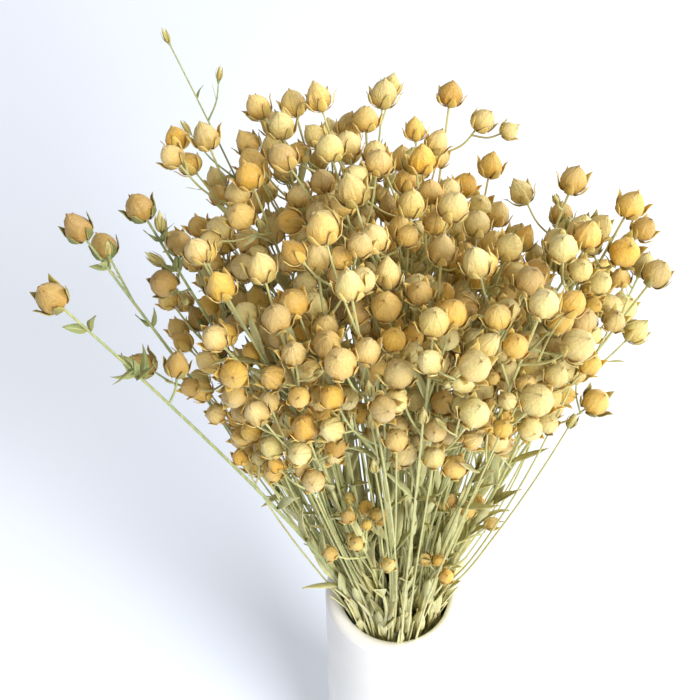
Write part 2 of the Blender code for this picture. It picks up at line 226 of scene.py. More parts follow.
# What differs by less than SMALL counts as level, or as one place
SMALL = 0.05 * MM
MERGE_WITHIN = SMALL / 5
GLAZE_FOLD = math.radians(40)
GLAZE_WHITE = (0.84, 0.84, 0.83, 1)
GLAZE_CREAM = (0.80, 0.795, 0.77, 1)
GLAZE_FLECK = (0.62, 0.60, 0.56, 1)
POOLS_TO_A_METRE = 22.0
WAVES_TO_A_METRE = 160.0
FLECKS_TO_A_METRE = 900.0
GLAZE_ROUGHNESS = (0.34, 0.48)
GLAZE_RELIEF = (0.12, 0.2 * MM)


def pick(thing, kind, test):
    """In edit mode, selects only the vertices, edges or faces that pass the test."""
    bpy.ops.mesh.select_mode(type=kind)
    bpy.ops.mesh.select_all(action="DESELECT")
    mesh = bmesh.from_edit_mesh(thing.data)
    elements = {"VERT": mesh.verts, "EDGE": mesh.edges, "FACE": mesh.faces}[kind]
    for element in elements:
        if test(element):
            element.select_set(True)
    mesh.select_flush_mode()
    bmesh.update_edit_mesh(thing.data)


def pick_ring(thing, height, near, far):
    """Selects the ring of edges at a height, between two distances from the axis."""

    def on_ring(edge):
        ends = [vertex.co for vertex in edge.verts]
        level = all(abs(end.z - height) < SMALL for end in ends)
        return level and all(near < end.xy.length < far for end in ends)

    pick(thing, "EDGE", on_ring)


bpy.ops.object.select_all(action="DESELECT")
bpy.ops.mesh.primitive_cylinder_add(
    vertices=VASE_SIDES, radius=VASE_RADIUS, depth=VASE_HEIGHT, location=(0, 0, VASE_HEIGHT / 2)
)
vase = bpy.context.object
vase.name = "ceramic_vase"
bpy.ops.object.transform_apply(location=True)
bpy.ops.object.mode_set(mode="EDIT")
pick(vase, "FACE", lambda face: face.normal.z > FACING_UP)
bpy.ops.mesh.inset(thickness=VASE_WALL)
bpy.ops.mesh.extrude_region_move(TRANSFORM_OT_translate={"value": (0, 0, VASE_FLOOR - VASE_HEIGHT)})
pick_ring(vase, VASE_FLOOR, 0, VASE_RADIUS)
bpy.ops.mesh.bevel(offset=FLOOR_ROUND, segments=ROUND_STEPS)
pick_ring(vase, 0, 0, 2 * VASE_RADIUS)
bpy.ops.mesh.bevel(offset=BASE_ROUND, segments=ROUND_STEPS)
between = VASE_RADIUS - VASE_WALL / 2
pick_ring(vase, VASE_HEIGHT, 0, between)
bpy.ops.mesh.bevel(offset=VASE_WALL / 2 - SMALL, segments=RIM_STEPS)
pick_ring(vase, VASE_HEIGHT, between + VASE_WALL / 4, 2 * VASE_RADIUS)
bpy.ops.mesh.bevel(offset=VASE_WALL / 2 - SMALL, segments=RIM_STEPS)
bpy.ops.mesh.select_all(action="SELECT")
bpy.ops.mesh.remove_doubles(threshold=MERGE_WITHIN)
bpy.ops.mesh.normals_make_consistent(inside=False)
bpy.ops.object.mode_set(mode="OBJECT")
bpy.ops.object.shade_smooth_by_angle(angle=GLAZE_FOLD)

glaze = Finish("satin_white_glaze", GLAZE_WHITE)
pools = glaze.noise(glaze.place, POOLS_TO_A_METRE, 3.0)
flecks = glaze.noise(glaze.place, FLECKS_TO_A_METRE)
waves = glaze.noise(glaze.place, WAVES_TO_A_METRE)
glaze.lay(GLAZE_CREAM, glaze.remap(pools, 0.35, 0.7, 0, 1))
glaze.lay(GLAZE_FLECK, glaze.remap(flecks, 0.66, 0.78, 0, 0.25))
glaze.set("Roughness", glaze.remap(pools, 0.3, 0.7, *GLAZE_ROUGHNESS))
glaze.emboss(glaze.math("ADD", waves, flecks), *GLAZE_RELIEF)
vase.data.materials.clear()
vase.data.materials.append(glaze.material)
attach(vase, "root")
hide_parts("vase")


# The bunch is 45 flax stems, cut and dried with their seed heads on. Each stands on the vase's
# floor, leaves the mouth with the others as a fan, and branches in its upper part. The source of
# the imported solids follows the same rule, so every stalk and arm lies where its solid is.

# Capsules, and the rod that stands for each where room is tested
CAPSULE_WIDTH = 8 * MM
SMALLEST_CAPSULE = 0.84
LARGEST_CAPSULE = 1.10
ROD_START = 0.44 * CAPSULE_WIDTH
ROD_END = 0.66 * CAPSULE_WIDTH
ROD_RADIUS = 0.59 * CAPSULE_WIDTH

# Stalks and leaves
STALK_FOOT_RADIUS = 1.1 * MM
STALK_TIP_RADIUS = 0.6 * MM
STALK_RING_SPACING = 42 * MM
MIDDLE_RING = 0.45
ARM_KNEE_RADIUS = 0.55 * MM
FOOT_GAP = 0.3 * MM
CLEARANCE = 0.45 * MM
LEAF_LENGTH = 19 * MM
LEAF_HALF_WIDTH = 1.3 * MM
LEAF_WIDEST = 0.42
LEAF_SIZES = (0.70, 1.15)
LEAF_LEAN = (0.35, 0.75)
LEAF_ZONE = (0.12, 0.62)

# The fan that the stalks make above the mouth
MOUTH_SPREAD = 18.5 * MM
FAN_SLOPE = 0.300
FAN_DEPTH_SLOPE = 0.215
FAN_BEND = 25 * MM
LEAN_LEFT = -0.050
LEAN_BACK = 0.085
SWAY = 2.0 * MM
SWAY_LENGTH = 75 * MM
BOW = 8 * MM
STALK_TRIES = 25
STALK_TRIM = 0.8 * MM

# The crown, and the stems that fill it
CROWN_HEIGHT = 220 * MM
CROWN_TILT = 24 * MM
CROWN_DOME = 18 * MM
CROWN_RAGGED = 11 * MM
BACK_RIGHT_DROP = 100 * MM
BACK_RISE = 16 * MM
BACK_SHIFT = 0.9
LOW_DROP = 40 * MM
LOW_SHARE = 0.20
LOW_IN_FRONT = 0.30
LOW_AT_LEFT = 0.25
LOW_SCALE = 0.92
FREE_STEMS = 33
STEM_SPACING = 0.25
SPACING_ROUNDS = 60
GOLDEN_ANGLE = math.radians(137.508)

# The arms of each stalk
ARMS_DEPTH = 100 * MM
ARMS_TOP = 14 * MM
ARMS_EACH = 5
ARM_SHORTEST = 19 * MM
ARM_GROWTH = 0.42
ARM_LENGTHS = (0.75, 1.15)
ARM_REACH = (10 * MM, 24 * MM)
ARM_WIDEST_LEAN = 0.9
ARM_TURN = 0.9
ARM_TURN_GROWTH = 0.1
ARM_UPTURN = 0.55
ARM_SKYWARD = 0.25
ARM_SLIP = 6 * MM
NEARBY = 5 * MM
ARM_TRIES = 90
ARM_SHRINK = 0.4
SEED = 225


class Stem:
    """One stalk's place in the bunch. Its place is 1 from the middle at the rim of the bunch."""

    def __init__(
        self, place, top, arms, reach=(0, 0), scale=1, leaves=2, depth=ARMS_DEPTH, arm_share=1
    ):
        self.place = Vector(place)
        self.top = top
        self.arms = arms
        self.reach = Vector(reach)
        self.scale = scale
        self.leaves = leaves
        self.depth = depth
        self.arm_share = arm_share
        self.bow = Vector((0, 0))
        self.path = []
        self.radii = []
        self.shoots = []
        self.blades = []

    def at(self, height):
        """The stalk's middle at a height above the mouth, which is below 0 inside the vase."""
        rise = max(height, 0)
        share = rise / self.top
        sway = SWAY * math.sin(rise / SWAY_LENGTH)
        x = LEAN_LEFT * rise + sway + self.place.x * spread(height, FAN_SLOPE)
        y = LEAN_BACK * rise - sway + self.place.y * spread(height, FAN_DEPTH_SLOPE)
        x += self.reach.x * share**2 + self.bow.x * math.sin(math.pi * share)
        y += self.reach.y * share**2 + self.bow.y * math.sin(math.pi * share)
        return Vector((x, y, VASE_HEIGHT + height))


def on_stalk(stem, height):
    """The point at this height on the straight stretch between two of the stalk's rings."""
    goal = VASE_HEIGHT + height
    for lower, upper in zip(stem.path, stem.path[1:]):
        if goal <= upper.z:
            break
    return lower.lerp(upper, (goal - lower.z) / (upper.z - lower.z))


def spread(height, slope):
    """The bunch's radius: nearly constant inside the vase, then opening at a constant slope."""
    opening = math.log1p(math.exp(height / FAN_BEND)) - math.log(2)
    return MOUTH_SPREAD + slope * FAN_BEND * opening


# The stems that stand out of the crown, each by its place, its height and how far its tip reaches
STRAY_STEMS = [
    # The long stem that leans out furthest, low on the left
    Stem((-0.80, -0.74), 248 * MM, 1, (-10 * MM, -14 * MM), 1, 4, 88 * MM, 0.35),
    # Two more on the left, above it
    Stem((-0.98, -0.22), 218 * MM, 2, (-9 * MM, 1 * MM), leaves=3, arm_share=0.5),
    Stem((-0.90, 0.08), 216 * MM, 3, (1 * MM, -8 * MM), arm_share=0.5),
    # The thin bare sprig at the back left, with buds only
    Stem((-0.66, 0.84), 222 * MM, 2, (-14 * MM, 14 * MM), 0.55, 3, 60 * MM),
    # A group at the back right
    Stem((0.32, 1.05), 200 * MM, 5, (0, 2 * MM), arm_share=0.6),
    Stem((0.50, 0.88), 182 * MM, 4, (2 * MM, 2 * MM), arm_share=0.7),
    # One alone at the right, and three that end the crown there
    Stem((0.66, 0.14), 214 * MM, 1, (7 * MM, 1 * MM), arm_share=0.5),
    Stem((0.95, -0.12), 220 * MM, 5, (-2 * MM, 2 * MM), arm_share=0.8),
    Stem((0.92, 0.20), 192 * MM, 4, (2 * MM, 2 * MM), arm_share=0.6),
    Stem((0.99, -0.38), 207 * MM, 5, (5 * MM, 3 * MM), 1, 2, 80 * MM, 0.7),
    # Short sprigs that hardly leave the mouth
    Stem((0.80, -0.58), 84 * MM, 3, (-5 * MM, 2 * MM), 0.70, 1, 40 * MM, 0.75),
    Stem((-0.28, -0.96), 112 * MM, 5, (-2 * MM, 0), 0.62, 1, 42 * MM, 0.85),
]
LONG_LEFT, UPPER_LEFT, THIRD_LEFT, BARE_SPRIG, LONE_RIGHT = 0, 1, 2, 3, 6
# Keeps the distance between parallel rods from a division by zero
NEVER_ZERO = 1e-18


class Room:
    """Everything placed so far, as rods with a radius, so that new pieces can be kept clear."""

    def __init__(self):
        self.starts = np.empty((0, 3))
        self.ends = np.empty((0, 3))
        self.radii = np.empty(0)
        self.owners = np.empty(0, int)

    def gap(self, start, end, radius, owner=-1):
        """The least gap from a rod to all that is placed, leaving out what the owner placed."""
        others = self.owners != owner
        if not others.any():
            return math.inf
        starts = self.starts[others]
        along = np.array(end) - np.array(start)
        theirs = self.ends[others] - starts
        between = np.array(start) - starts
        own = along @ along
        other = (theirs * theirs).sum(axis=1)
        both = theirs @ along
        mine = between @ along
        yours = (theirs * between).sum(axis=1)
        parallel = np.maximum(own * other - both * both, NEVER_ZERO)
        share = np.clip((both * yours - mine * other) / parallel, 0, 1)
        where = np.clip((both * share + yours) / other, 0, 1)
        share = np.clip((both * where - mine) / own, 0, 1)
        apart = between + share[:, None] * along - where[:, None] * theirs
        return float((np.linalg.norm(apart, axis=1) - self.radii[others]).min()) - radius

    def add(self, rods, owner):
        self.starts = np.vstack([self.starts, [rod[0] for rod in rods]])
        self.ends = np.vstack([self.ends, [rod[1] for rod in rods]])
        self.radii = np.append(self.radii, [rod[2] for rod in rods])
        self.owners = np.append(self.owners, [owner] * len(rods))


def stalk_heights(stem):
    """The heights of a stalk's rings: few inside the vase, closer together in the fan."""
    foot = VASE_FLOOR + FOOT_GAP - VASE_HEIGHT
    inside = [foot, MIDDLE_RING * foot, 0]
    steps = max(2, round(stem.top / STALK_RING_SPACING))
    return inside + [stem.top * step / steps for step in range(1, steps + 1)]


def stalk_radius(stem, height):
    """A stalk's radius, which shrinks from its foot to its tip."""
    share = max(height, 0) / stem.top
    return STALK_FOOT_RADIUS + (STALK_TIP_RADIUS - STALK_FOOT_RADIUS) * share


def capsule_rod(base, axis, scale):
    """The short fat rod that stands for a capsule and its sepals in the distance test."""
    return (base + axis * ROD_START * scale, base + axis * ROD_END * scale, ROD_RADIUS * scale)


def place_stems(draw):
    """The stems' places: the stray ones as given, and the rest in a spiral, pushed evenly apart."""
    stems = list(STRAY_STEMS)
    for count in range(FREE_STEMS):
        radius = math.sqrt((count + 0.5) / FREE_STEMS)
        angle = count * GOLDEN_ANGLE
        place = Vector((radius * math.cos(angle), radius * math.sin(angle)))
        low = draw.random() < LOW_SHARE - LOW_IN_FRONT * place.y - LOW_AT_LEFT * place.x
        top = CROWN_HEIGHT - CROWN_TILT * place.y - CROWN_DOME * place.length_squared
        top -= BACK_RIGHT_DROP * max(place.x, 0) * max(place.y, 0)
        top += BACK_RISE * max(BACK_SHIFT - place.x, 0) * max(place.y, 0)
        top += draw.uniform(-CROWN_RAGGED, CROWN_RAGGED)
        if low:
            top -= LOW_DROP
        scale = LOW_SCALE if low else 1
        stems.append(Stem(place, top, ARMS_EACH, scale=scale, leaves=1 + count % 2))
    free = stems[len(STRAY_STEMS):]
    for _ in range(SPACING_ROUNDS):
        for stem in free:
            push = Vector((0, 0))
            for other in stems:
                apart = stem.place - other.place
                if other is not stem and apart.length < STEM_SPACING:
                    push += apart.normalized() * (STEM_SPACING - apart.length) / 2
            stem.place += push
            if stem.place.length > 1:
                stem.place.normalize()
    return stems


def place_stalks(stems, room, draw):
    """Bows each stalk sideways as far as its neighbours allow, and claims its room."""
    for number, stem in enumerate(stems):
        for attempt in range(STALK_TRIES):
            freedom = BOW * (1 - attempt / STALK_TRIES)
            stem.bow = Vector((draw.uniform(-freedom, freedom), draw.uniform(-freedom, freedom)))
            heights = stalk_heights(stem)
            stem.path = [stem.at(height) for height in heights]
            stem.radii = [stalk_radius(stem, height) for height in heights]
            axis = (stem.path[-1] - stem.path[-2]).normalized()
            rods = list(zip(stem.path, stem.path[1:], stem.radii))
            rods.append(capsule_rod(stem.path[-1], axis, stem.scale))
            if min(room.gap(*rod) for rod in rods) > CLEARANCE:
                break
            stem.top -= STALK_TRIM
        room.add(rods, number)


def place_arms(stems, room, draw):
    """Grows each stalk's arms, each the first of many tries that stays clear of all the rest."""
    for number, stem in enumerate(stems):
        turn = draw.uniform(0, 2 * math.pi)
        for count in range(stem.arms):
            share = (count + 0.5) / stem.arms
            depth = ARMS_TOP + (stem.depth - ARMS_TOP) * share
            for attempt in range(ARM_TRIES):
                rise = stem.top - depth + draw.uniform(-ARM_SLIP, ARM_SLIP)
                length = (ARM_SHORTEST + ARM_GROWTH * depth) * stem.scale * stem.arm_share
                length *= draw.uniform(*ARM_LENGTHS) * (1 - ARM_SHRINK * attempt / ARM_TRIES)
                turn_limit = ARM_TURN * (1 + ARM_TURN_GROWTH * attempt)
                side = turn + count * GOLDEN_ANGLE + draw.uniform(-turn_limit, turn_limit)
                scale = stem.scale * draw.uniform(SMALLEST_CAPSULE, LARGEST_CAPSULE)
                lean = min(draw.uniform(*ARM_REACH) / length, ARM_WIDEST_LEAN)
                path = arm_path(stem, rise, length, side, lean)
                axis = (path[-1] - path[-2]).normalized()
                first = (path[0], path[1], ARM_KNEE_RADIUS)
                rest = (path[1], path[2], ARM_KNEE_RADIUS)
                body = capsule_rod(path[-1], axis, scale)
                near_root = room.gap(*first, owner=number)
                if min(near_root, room.gap(*rest), room.gap(*body)) > CLEARANCE:
                    room.add([first, rest, body], number)
                    stem.shoots.append((path, scale))
                    break


def leaving(stem, rise, side, lean):
    """The stalk's direction at a height, and that of what leaves it there to this side."""
    up = (stem.at(rise + NEARBY) - stem.at(rise - NEARBY)).normalized()
    across = up.orthogonal().normalized()
    out = across * math.cos(side) + up.cross(across) * math.sin(side)
    return up, out * math.sin(lean) + up * math.cos(lean)


def arm_path(stem, rise, length, side, lean):
    """An arm's points: out of the stalk at an angle, then bending up towards the stalk's line."""
    root = on_stalk(stem, rise)
    up, leave = leaving(stem, rise, side, lean)
    knee = root + leave * length / 2
    ahead = (leave + ARM_UPTURN * up + ARM_SKYWARD * Vector((0, 0, 1))).normalized()
    return [root, knee, knee + ahead * length / 2]


def place_leaves(stems, room, draw):
    """Sets each stem's leaves on the lower half of its fan, each where it stays clear."""
    for number, stem in enumerate(stems):
        for _ in range(stem.leaves):
            for _ in range(ARM_TRIES):
                rise = stem.top * draw.uniform(*LEAF_ZONE)
                angle = draw.uniform(0, 2 * math.pi)
                up, along = leaving(stem, rise, angle, draw.uniform(*LEAF_LEAN))
                length = LEAF_LENGTH * draw.uniform(*LEAF_SIZES)
                root = on_stalk(stem, rise)
                middle = root + along * length * LEAF_WIDEST
                end = root + along * length
                lower = (root, middle, LEAF_HALF_WIDTH)
                upper = (middle, end, LEAF_HALF_WIDTH)
                if min(room.gap(*lower, owner=number), room.gap(*upper)) > CLEARANCE:
                    side = up.cross(along).normalized()
                    stem.blades.append((root, along, side, length))
                    room.add([lower, upper], number)
                    break


draw = random.Random(SEED)
room = Room()
stems = place_stems(draw)
place_stalks(stems, room, draw)
place_arms(stems, room, draw)
place_leaves(stems, room, draw)


# A flax stem branches finely: short twigs leave its arms, thin side shoots grow up beside it, and
# narrow leaves cover its neck. Each is tried against all the rest, as rods, and a least gap below
# 0 lets thin dry edges cross by that much.
FINE_SEED = 7
RING_SPACING = 9 * MM
ARM_STEPS = 5
ARM_KNEE = ARM_STEPS // 2
# Each kind of branch: its radius at its foot and at its tip
STALK_RADII = (STALK_FOOT_RADIUS, 0.62 * STALK_TIP_RADIUS)
BARE_STALK_RADII = (STALK_FOOT_RADIUS, 0.45 * STALK_TIP_RADIUS)
ARM_RADII = (0.45 * MM, 0.32 * MM)
BARE_ARM_RADII = (0.45 * MM, 0.24 * MM)
TWIG_RADII = (0.38 * MM, 0.30 * MM)
SHOOT_RADII = (0.55 * MM, 0.32 * MM)
SHOOT_TWIG_RADII = (0.36 * MM, 0.28 * MM)
BUD_STALK_RADII = (0.32 * MM, 0.26 * MM)

# Twigs, buds and bracts. The steps soften each stretch of their curves.
TWIG_STEPS = 4
BUD_STALK_STEPS = 3
TWIG_SHARES = (0.95, 0.45)
TWIG_LENGTHS = (8 * MM, 20 * MM)
TWIG_LEAN = (0.45, 1.15)
TWIG_UPTURN = 0.45
TWIG_SHRINK = 0.3
TWIG_RADIUS = 0.35 * MM
TWIG_TRIES = 26
SEPAL_CROSSING = -0.9 * MM
BUD_SHARE = 0.30
BUD_LENGTHS = (4 * MM, 9 * MM)
BUD_SCALES = (0.34, 0.50)
TUFT_BUD_SCALE = 0.5
BRACT_SHARE = 0.45
BRACT_SIZES = (0.22, 0.42)
BRACT_LEAN = 0.6

# Side shoots, on all but the outer stems
SHOOTS_EACH = 9
BARREN_SHARE = 0.5
SHOOT_ROOTS = (-150 * MM, 20 * MM)
SHOOT_ENDS = (0.62, 0.90)
SHOOT_APART = (4 * MM, 14 * MM)
SHOOT_TURN = 1.7
SHOOT_STEPS = 9
SHOOT_CURVE_STEPS = 3
SHOOT_SCALES = (0.62, 0.88)
SHOOT_TWIG_PLACES = (0.1, 0.7)
SHOOT_TWIG_SCALE = 0.95
SHOOT_RADIUS = 0.5 * MM
SHOOT_TRIES = 24
SHOOT_CROSSING = -0.2 * MM
BORE_MARGIN = 0.9 * MM
FAN_EDGE = 1.08
CROWN_UNDERSIDE = 62 * MM
UNDERSIDE_TILT = 0.15

# Leaves by stretches over the mouth: how many, from where to where, their leans and length shares
LEAF_STRETCHES = [
    (12, (-48 * MM, 3 * MM), (0.01, 0.09), (1.0, 1.9)),
    (8, (4 * MM, 85 * MM), (0.02, 0.14), (0.8, 1.6)),
    (7, (85 * MM, 190 * MM), (0.10, 0.45), (0.8, 1.4)),
]
SHOOT_LEAVES = ((-62 * MM, 4 * MM), (0.02, 0.14), (0.8, 1.4))
TOPMOST_LEAF = 0.9
LEAF_CROSSING = -0.9 * MM
LEAF_ROD_RADIUS = LEAF_HALF_WIDTH / 2
LEAF_DROOP = 1.1 * MM
# The outermost stems on the left carry tufts of short green leaves, and one at the right is
# grassy: share of the height, leaves, length share, width share, greatest lean
GRASSY_RIGHT = 7
TUFTS = {
    LONG_LEFT: [(0.945, 2, 0.34, 3.3, 1.0), (0.84, 8, 0.36, 3.3, 1.0)],
    UPPER_LEFT: [(0.93, 3, 0.34, 3.3, 1.0), (0.80, 2, 0.34, 3.3, 1.0)],
    THIRD_LEFT: [(0.955, 3, 0.34, 3.3, 1.0), (0.90, 3, 0.36, 3.3, 1.0)],
    BARE_SPRIG: [(0.80, 2, 0.30, 3.3, 1.0), (0.92, 1, 0.30, 3.3, 1.0)],
    LONE_RIGHT: [(0.97, 0, 0.30, 3.3, 1.0)],
    GRASSY_RIGHT: [(0.50, 5, 1.2, 1.2, 0.3), (0.62, 6, 1.1, 1.2, 0.35), (0.74, 6, 0.9, 1.2, 0.4)],
}
TUFT_SPACING = 2.4 * MM
TUFT_LEANS = (0.35, 1.0)
TUFT_LENGTHS = (0.8, 1.2)
# Stems by number: the outer ones come first, and then the two short sprigs
OUTER_STEMS = 10
SHORT_SPRIGS = (10, 11)
SPARSE_STEMS = (LONG_LEFT, UPPER_LEFT, BARE_SPRIG, LONE_RIGHT)
LOWEST_CAPSULE = 42 * MM
UP = Vector((0, 0, 1))


def soften(points, steps):
    """A smooth curve through the points, with this many steps from each to the next."""
    ends = [2 * points[0] - points[1], *points, 2 * points[-1] - points[-2]]
    result = []
    for before, start, end, after in zip(ends, ends[1:], ends[2:], ends[3:]):
        for step in range(steps):
            share = step / steps
            straight = (end - before) * share
            bend = (2 * before - 5 * start + 4 * end - after) * share**2
            twist = (3 * start - before - 3 * end + after) * share**3
            result.append(start + (straight + bend + twist) / 2)
    return [*result, points[-1]]


def lean_from(along, side, lean):
    """The direction that leans away from another by an angle, to this side of it."""
    across = along.orthogonal().normalized()
    out = across * math.cos(side) + along.cross(across) * math.sin(side)
    return out * math.sin(lean) + along * math.cos(lean)


def in_bore(point, margin):
    """Whether a point lies above the rim, or far enough inside the vase's bore."""
    return point.z > VASE_HEIGHT + margin or point.xy.length < VASE_RADIUS - VASE_WALL - margin


def in_crown(point):
    """Whether a point lies above the crown's underside, which slopes up towards the front."""
    over_mouth = point - Vector((0, 0, VASE_HEIGHT))
    return over_mouth.dot(picture_up) > CROWN_UNDERSIDE + UNDERSIDE_TILT * point.x


def in_fan(point):
    """Whether a point lies hardly further out than the fan's outermost stalks."""
    rise = point.z - VASE_HEIGHT
    across = (point.x - LEAN_LEFT * rise) / spread(rise, FAN_SLOPE)
    deep = (point.y - LEAN_BACK * rise) / spread(rise, FAN_DEPTH_SLOPE)
    return math.hypot(across, deep) < FAN_EDGE


def grow_twig(number, root, along, lengths, scale):
    """A twig's points and the size of what it carries, or nothing where it has no room."""
    for attempt in range(TWIG_TRIES):
        shrink = 1 - TWIG_SHRINK * attempt / TWIG_TRIES
        length = fine.uniform(*lengths) * shrink
        leave = lean_from(along, fine.uniform(0, 2 * math.pi), fine.uniform(*TWIG_LEAN))
        knee = root + leave * length / 2
        ahead = (leave + TWIG_UPTURN * along + ARM_SKYWARD * UP).normalized()
        tip = knee + ahead * length / 2
        body = capsule_rod(tip, ahead, scale * shrink)
        rise = tip.z - VASE_HEIGHT
        high_enough = rise > LOWEST_CAPSULE if number in SHORT_SPRIGS else in_crown(tip)
        placed_well = high_enough and in_fan(tip) and rise < stems[number].top
        placed_well = placed_well and room.gap(*body) > SEPAL_CROSSING
        if placed_well and room.gap(knee, tip, TWIG_RADIUS, number) > 0:
            room.add([(root, knee, TWIG_RADIUS), (knee, tip, TWIG_RADIUS), body], number)
            return [root, knee, tip], scale * shrink
    return None


def grow_side_shoot(number, stem):
    """A thin shoot that follows the stalk up, a little apart from it, or nothing."""
    for _ in range(SHOOT_TRIES):
        rise = fine.uniform(*SHOOT_ROOTS)
        length = stem.top * fine.uniform(*SHOOT_ENDS) - rise
        side = math.atan2(stem.place.y, stem.place.x) + fine.uniform(-SHOOT_TURN, SHOOT_TURN)
        out = Vector((math.cos(side), math.sin(side), 0)) * fine.uniform(*SHOOT_APART)
        scale = stem.scale * fine.uniform(*SHOOT_SCALES)
        path = []
        for step in range(SHOOT_STEPS + 1):
            share = step / SHOOT_STEPS
            # Half of the way out is reached in the first quarter of the shoot
            apart = min(1, 4 * share) * 0.5 + 0.5 * share**2
            path.append(stem.at(rise + length * share) + out * apart)
        if not in_crown(path[-1]) or not all(in_bore(point, BORE_MARGIN) for point in path):
            continue
        axis = (path[-1] - path[-2]).normalized()
        body = capsule_rod(path[-1], axis, scale)
        rods = [(start, end, SHOOT_RADIUS) for start, end in zip(path, path[1:])]
        clear = min(room.gap(*rod, owner=number) for rod in rods)
        if clear > SHOOT_CROSSING and room.gap(*body) > SEPAL_CROSSING:
            room.add([*rods, body], number)
            return path, scale
    return None


class Growth:
    """All that is drawn of one stem: its branches, its capsules, its buds and its leaves."""

    def __init__(self, number, stem):
        self.number = number
        self.stem = stem
        self.branches = []
        self.capsules = []
        self.buds = []
        self.leaves = []
        self.tuft_leaves = []

    def carry(self, kind, path, scale):
        """Ends a branch in a capsule or a bud, in line with the branch's last stretch."""
        head = (path[-1], (path[-1] - path[-2]).normalized(), scale)
        getattr(self, kind).append(head)

    def add_branch(self, kind, branch, steps, radii):
        """Adds a branch and what it carries, unless there was no room for it."""
        if branch:
            self.branches.append((soften(branch[0], steps), *radii))
            self.carry(kind, *branch)

    def add_leaf(self, root, up, lean, length):
        """The first leaf of many tries that has room, and inside the vase stays in its bore."""
        for _ in range(TWIG_TRIES):
            along = lean_from(up, fine.uniform(0, 2 * math.pi), lean)
            end = root + along * length
            if not in_bore(end, LEAF_DROOP) or not in_bore(root.lerp(end, 0.5), LEAF_DROOP):
                continue
            # A leaf's first third lies close among the stalks, so it isn't tried
            start = root + along * length / 3
            if room.gap(start, end, LEAF_ROD_RADIUS, self.number) > LEAF_CROSSING:
                room.add([(root, end, LEAF_ROD_RADIUS)], self.number)
                self.leaves.append((root, along, up.cross(along).normalized(), length))
                break

    def grow_arm(self, path, scale, bare):
        """An arm with its capsule, up to two twigs, and at times a bud and a bract at its knee."""
        root = self.stem.at(path[0].z - VASE_HEIGHT)
        arm = soften([root, *path[1:]], ARM_STEPS)
        self.branches.append((arm, *(BARE_ARM_RADII if bare else ARM_RADII)))
        self.carry("buds" if bare else "capsules", path, scale)
        for chance in TWIG_SHARES:
            where = fine.randrange(ARM_KNEE, 2 * ARM_STEPS - 1)
            along = (arm[where + 1] - arm[where]).normalized()
            size = self.stem.scale * fine.uniform(SMALLEST_CAPSULE, 1)
            if self.number in SPARSE_STEMS or fine.random() > chance:
                continue
            twig = grow_twig(self.number, arm[where], along, TWIG_LENGTHS, size)
            self.add_branch("capsules", twig, TWIG_STEPS, TWIG_RADII)
        if fine.random() < BUD_SHARE:
            where = fine.randrange(ARM_KNEE, 2 * ARM_STEPS - 1)
            along = (arm[where + 1] - arm[where]).normalized()
            size = fine.uniform(*BUD_SCALES)
            bud = grow_twig(self.number, arm[where], along, BUD_LENGTHS, size)
            self.add_branch("buds", bud, BUD_STALK_STEPS, BUD_STALK_RADII)
        if fine.random() < BRACT_SHARE:
            length = LEAF_LENGTH * fine.uniform(*BRACT_SIZES)
            up = (arm[ARM_STEPS] - arm[0]).normalized()
            self.add_leaf(arm[ARM_STEPS], up, BRACT_LEAN, length)

    def grow_shoots(self):
        """Side shoots that end in a bud or in capsules, and the leaves on their lowest stretch."""
        shoots = []
        for _ in range(SHOOTS_EACH):
            shoot = grow_side_shoot(self.number, self.stem)
            if not shoot:
                continue
            path, scale = shoot
            shoots.append(path)
            barren = fine.random() < BARREN_SHARE
            kind = "buds" if barren else "capsules"
            self.add_branch(kind, shoot, SHOOT_CURVE_STEPS, SHOOT_RADII)
            for chance in () if barren else TWIG_SHARES:
                where = path[-2].lerp(path[-1], fine.uniform(*SHOOT_TWIG_PLACES))
                along = (path[-1] - path[-2]).normalized()
                size = scale * SHOOT_TWIG_SCALE
                twig = grow_twig(self.number, where, along, TWIG_LENGTHS, size)
                if twig and fine.random() < chance:
                    self.add_branch("capsules", twig, TWIG_STEPS, SHOOT_TWIG_RADII)
        (lowest, highest), leans, sizes = SHOOT_LEAVES
        for path in shoots:
            for start, end in zip(path, path[1:]):
                if lowest < start.z - VASE_HEIGHT < highest:
                    root = start.lerp(end, fine.random())
                    length = LEAF_LENGTH * fine.uniform(*sizes)
                    self.add_leaf(root, (end - start).normalized(), fine.uniform(*leans), length)

    def grow_leaves(self, count, stretch, leans, sizes):
        """The leaves of one stretch of the stalk."""
        for _ in range(count):
            rise = fine.uniform(*stretch)
            if rise > self.stem.top * TOPMOST_LEAF:
                continue
            root = self.stem.at(rise)
            up = (self.stem.at(rise + NEARBY) - root).normalized()
            length = LEAF_LENGTH * fine.uniform(*sizes)
            self.add_leaf(root, up, fine.uniform(*leans), length)

    def grow_tuft(self, share, leaves, size, width, most_lean):
        """A tuft of green leaves and shut buds at one place of the stalk."""
        rise = self.stem.top * share
        root = self.stem.at(rise)
        up = (self.stem.at(rise + NEARBY) - root).normalized()
        for count in range(leaves):
            lean = fine.uniform(*TUFT_LEANS) * most_lean
            along = lean_from(up, count * GOLDEN_ANGLE, lean)
            start = root + up * count * TUFT_SPACING * size
            length = LEAF_LENGTH * size * fine.uniform(*TUFT_LENGTHS)
            side = up.cross(along).normalized()
            self.tuft_leaves.append((start, along, side, length, width))
        for _ in range(1 + leaves // 4):
            bud = grow_twig(self.number, root, up, BUD_LENGTHS, TUFT_BUD_SCALE)
            self.add_branch("buds", bud, BUD_STALK_STEPS, BUD_STALK_RADII)


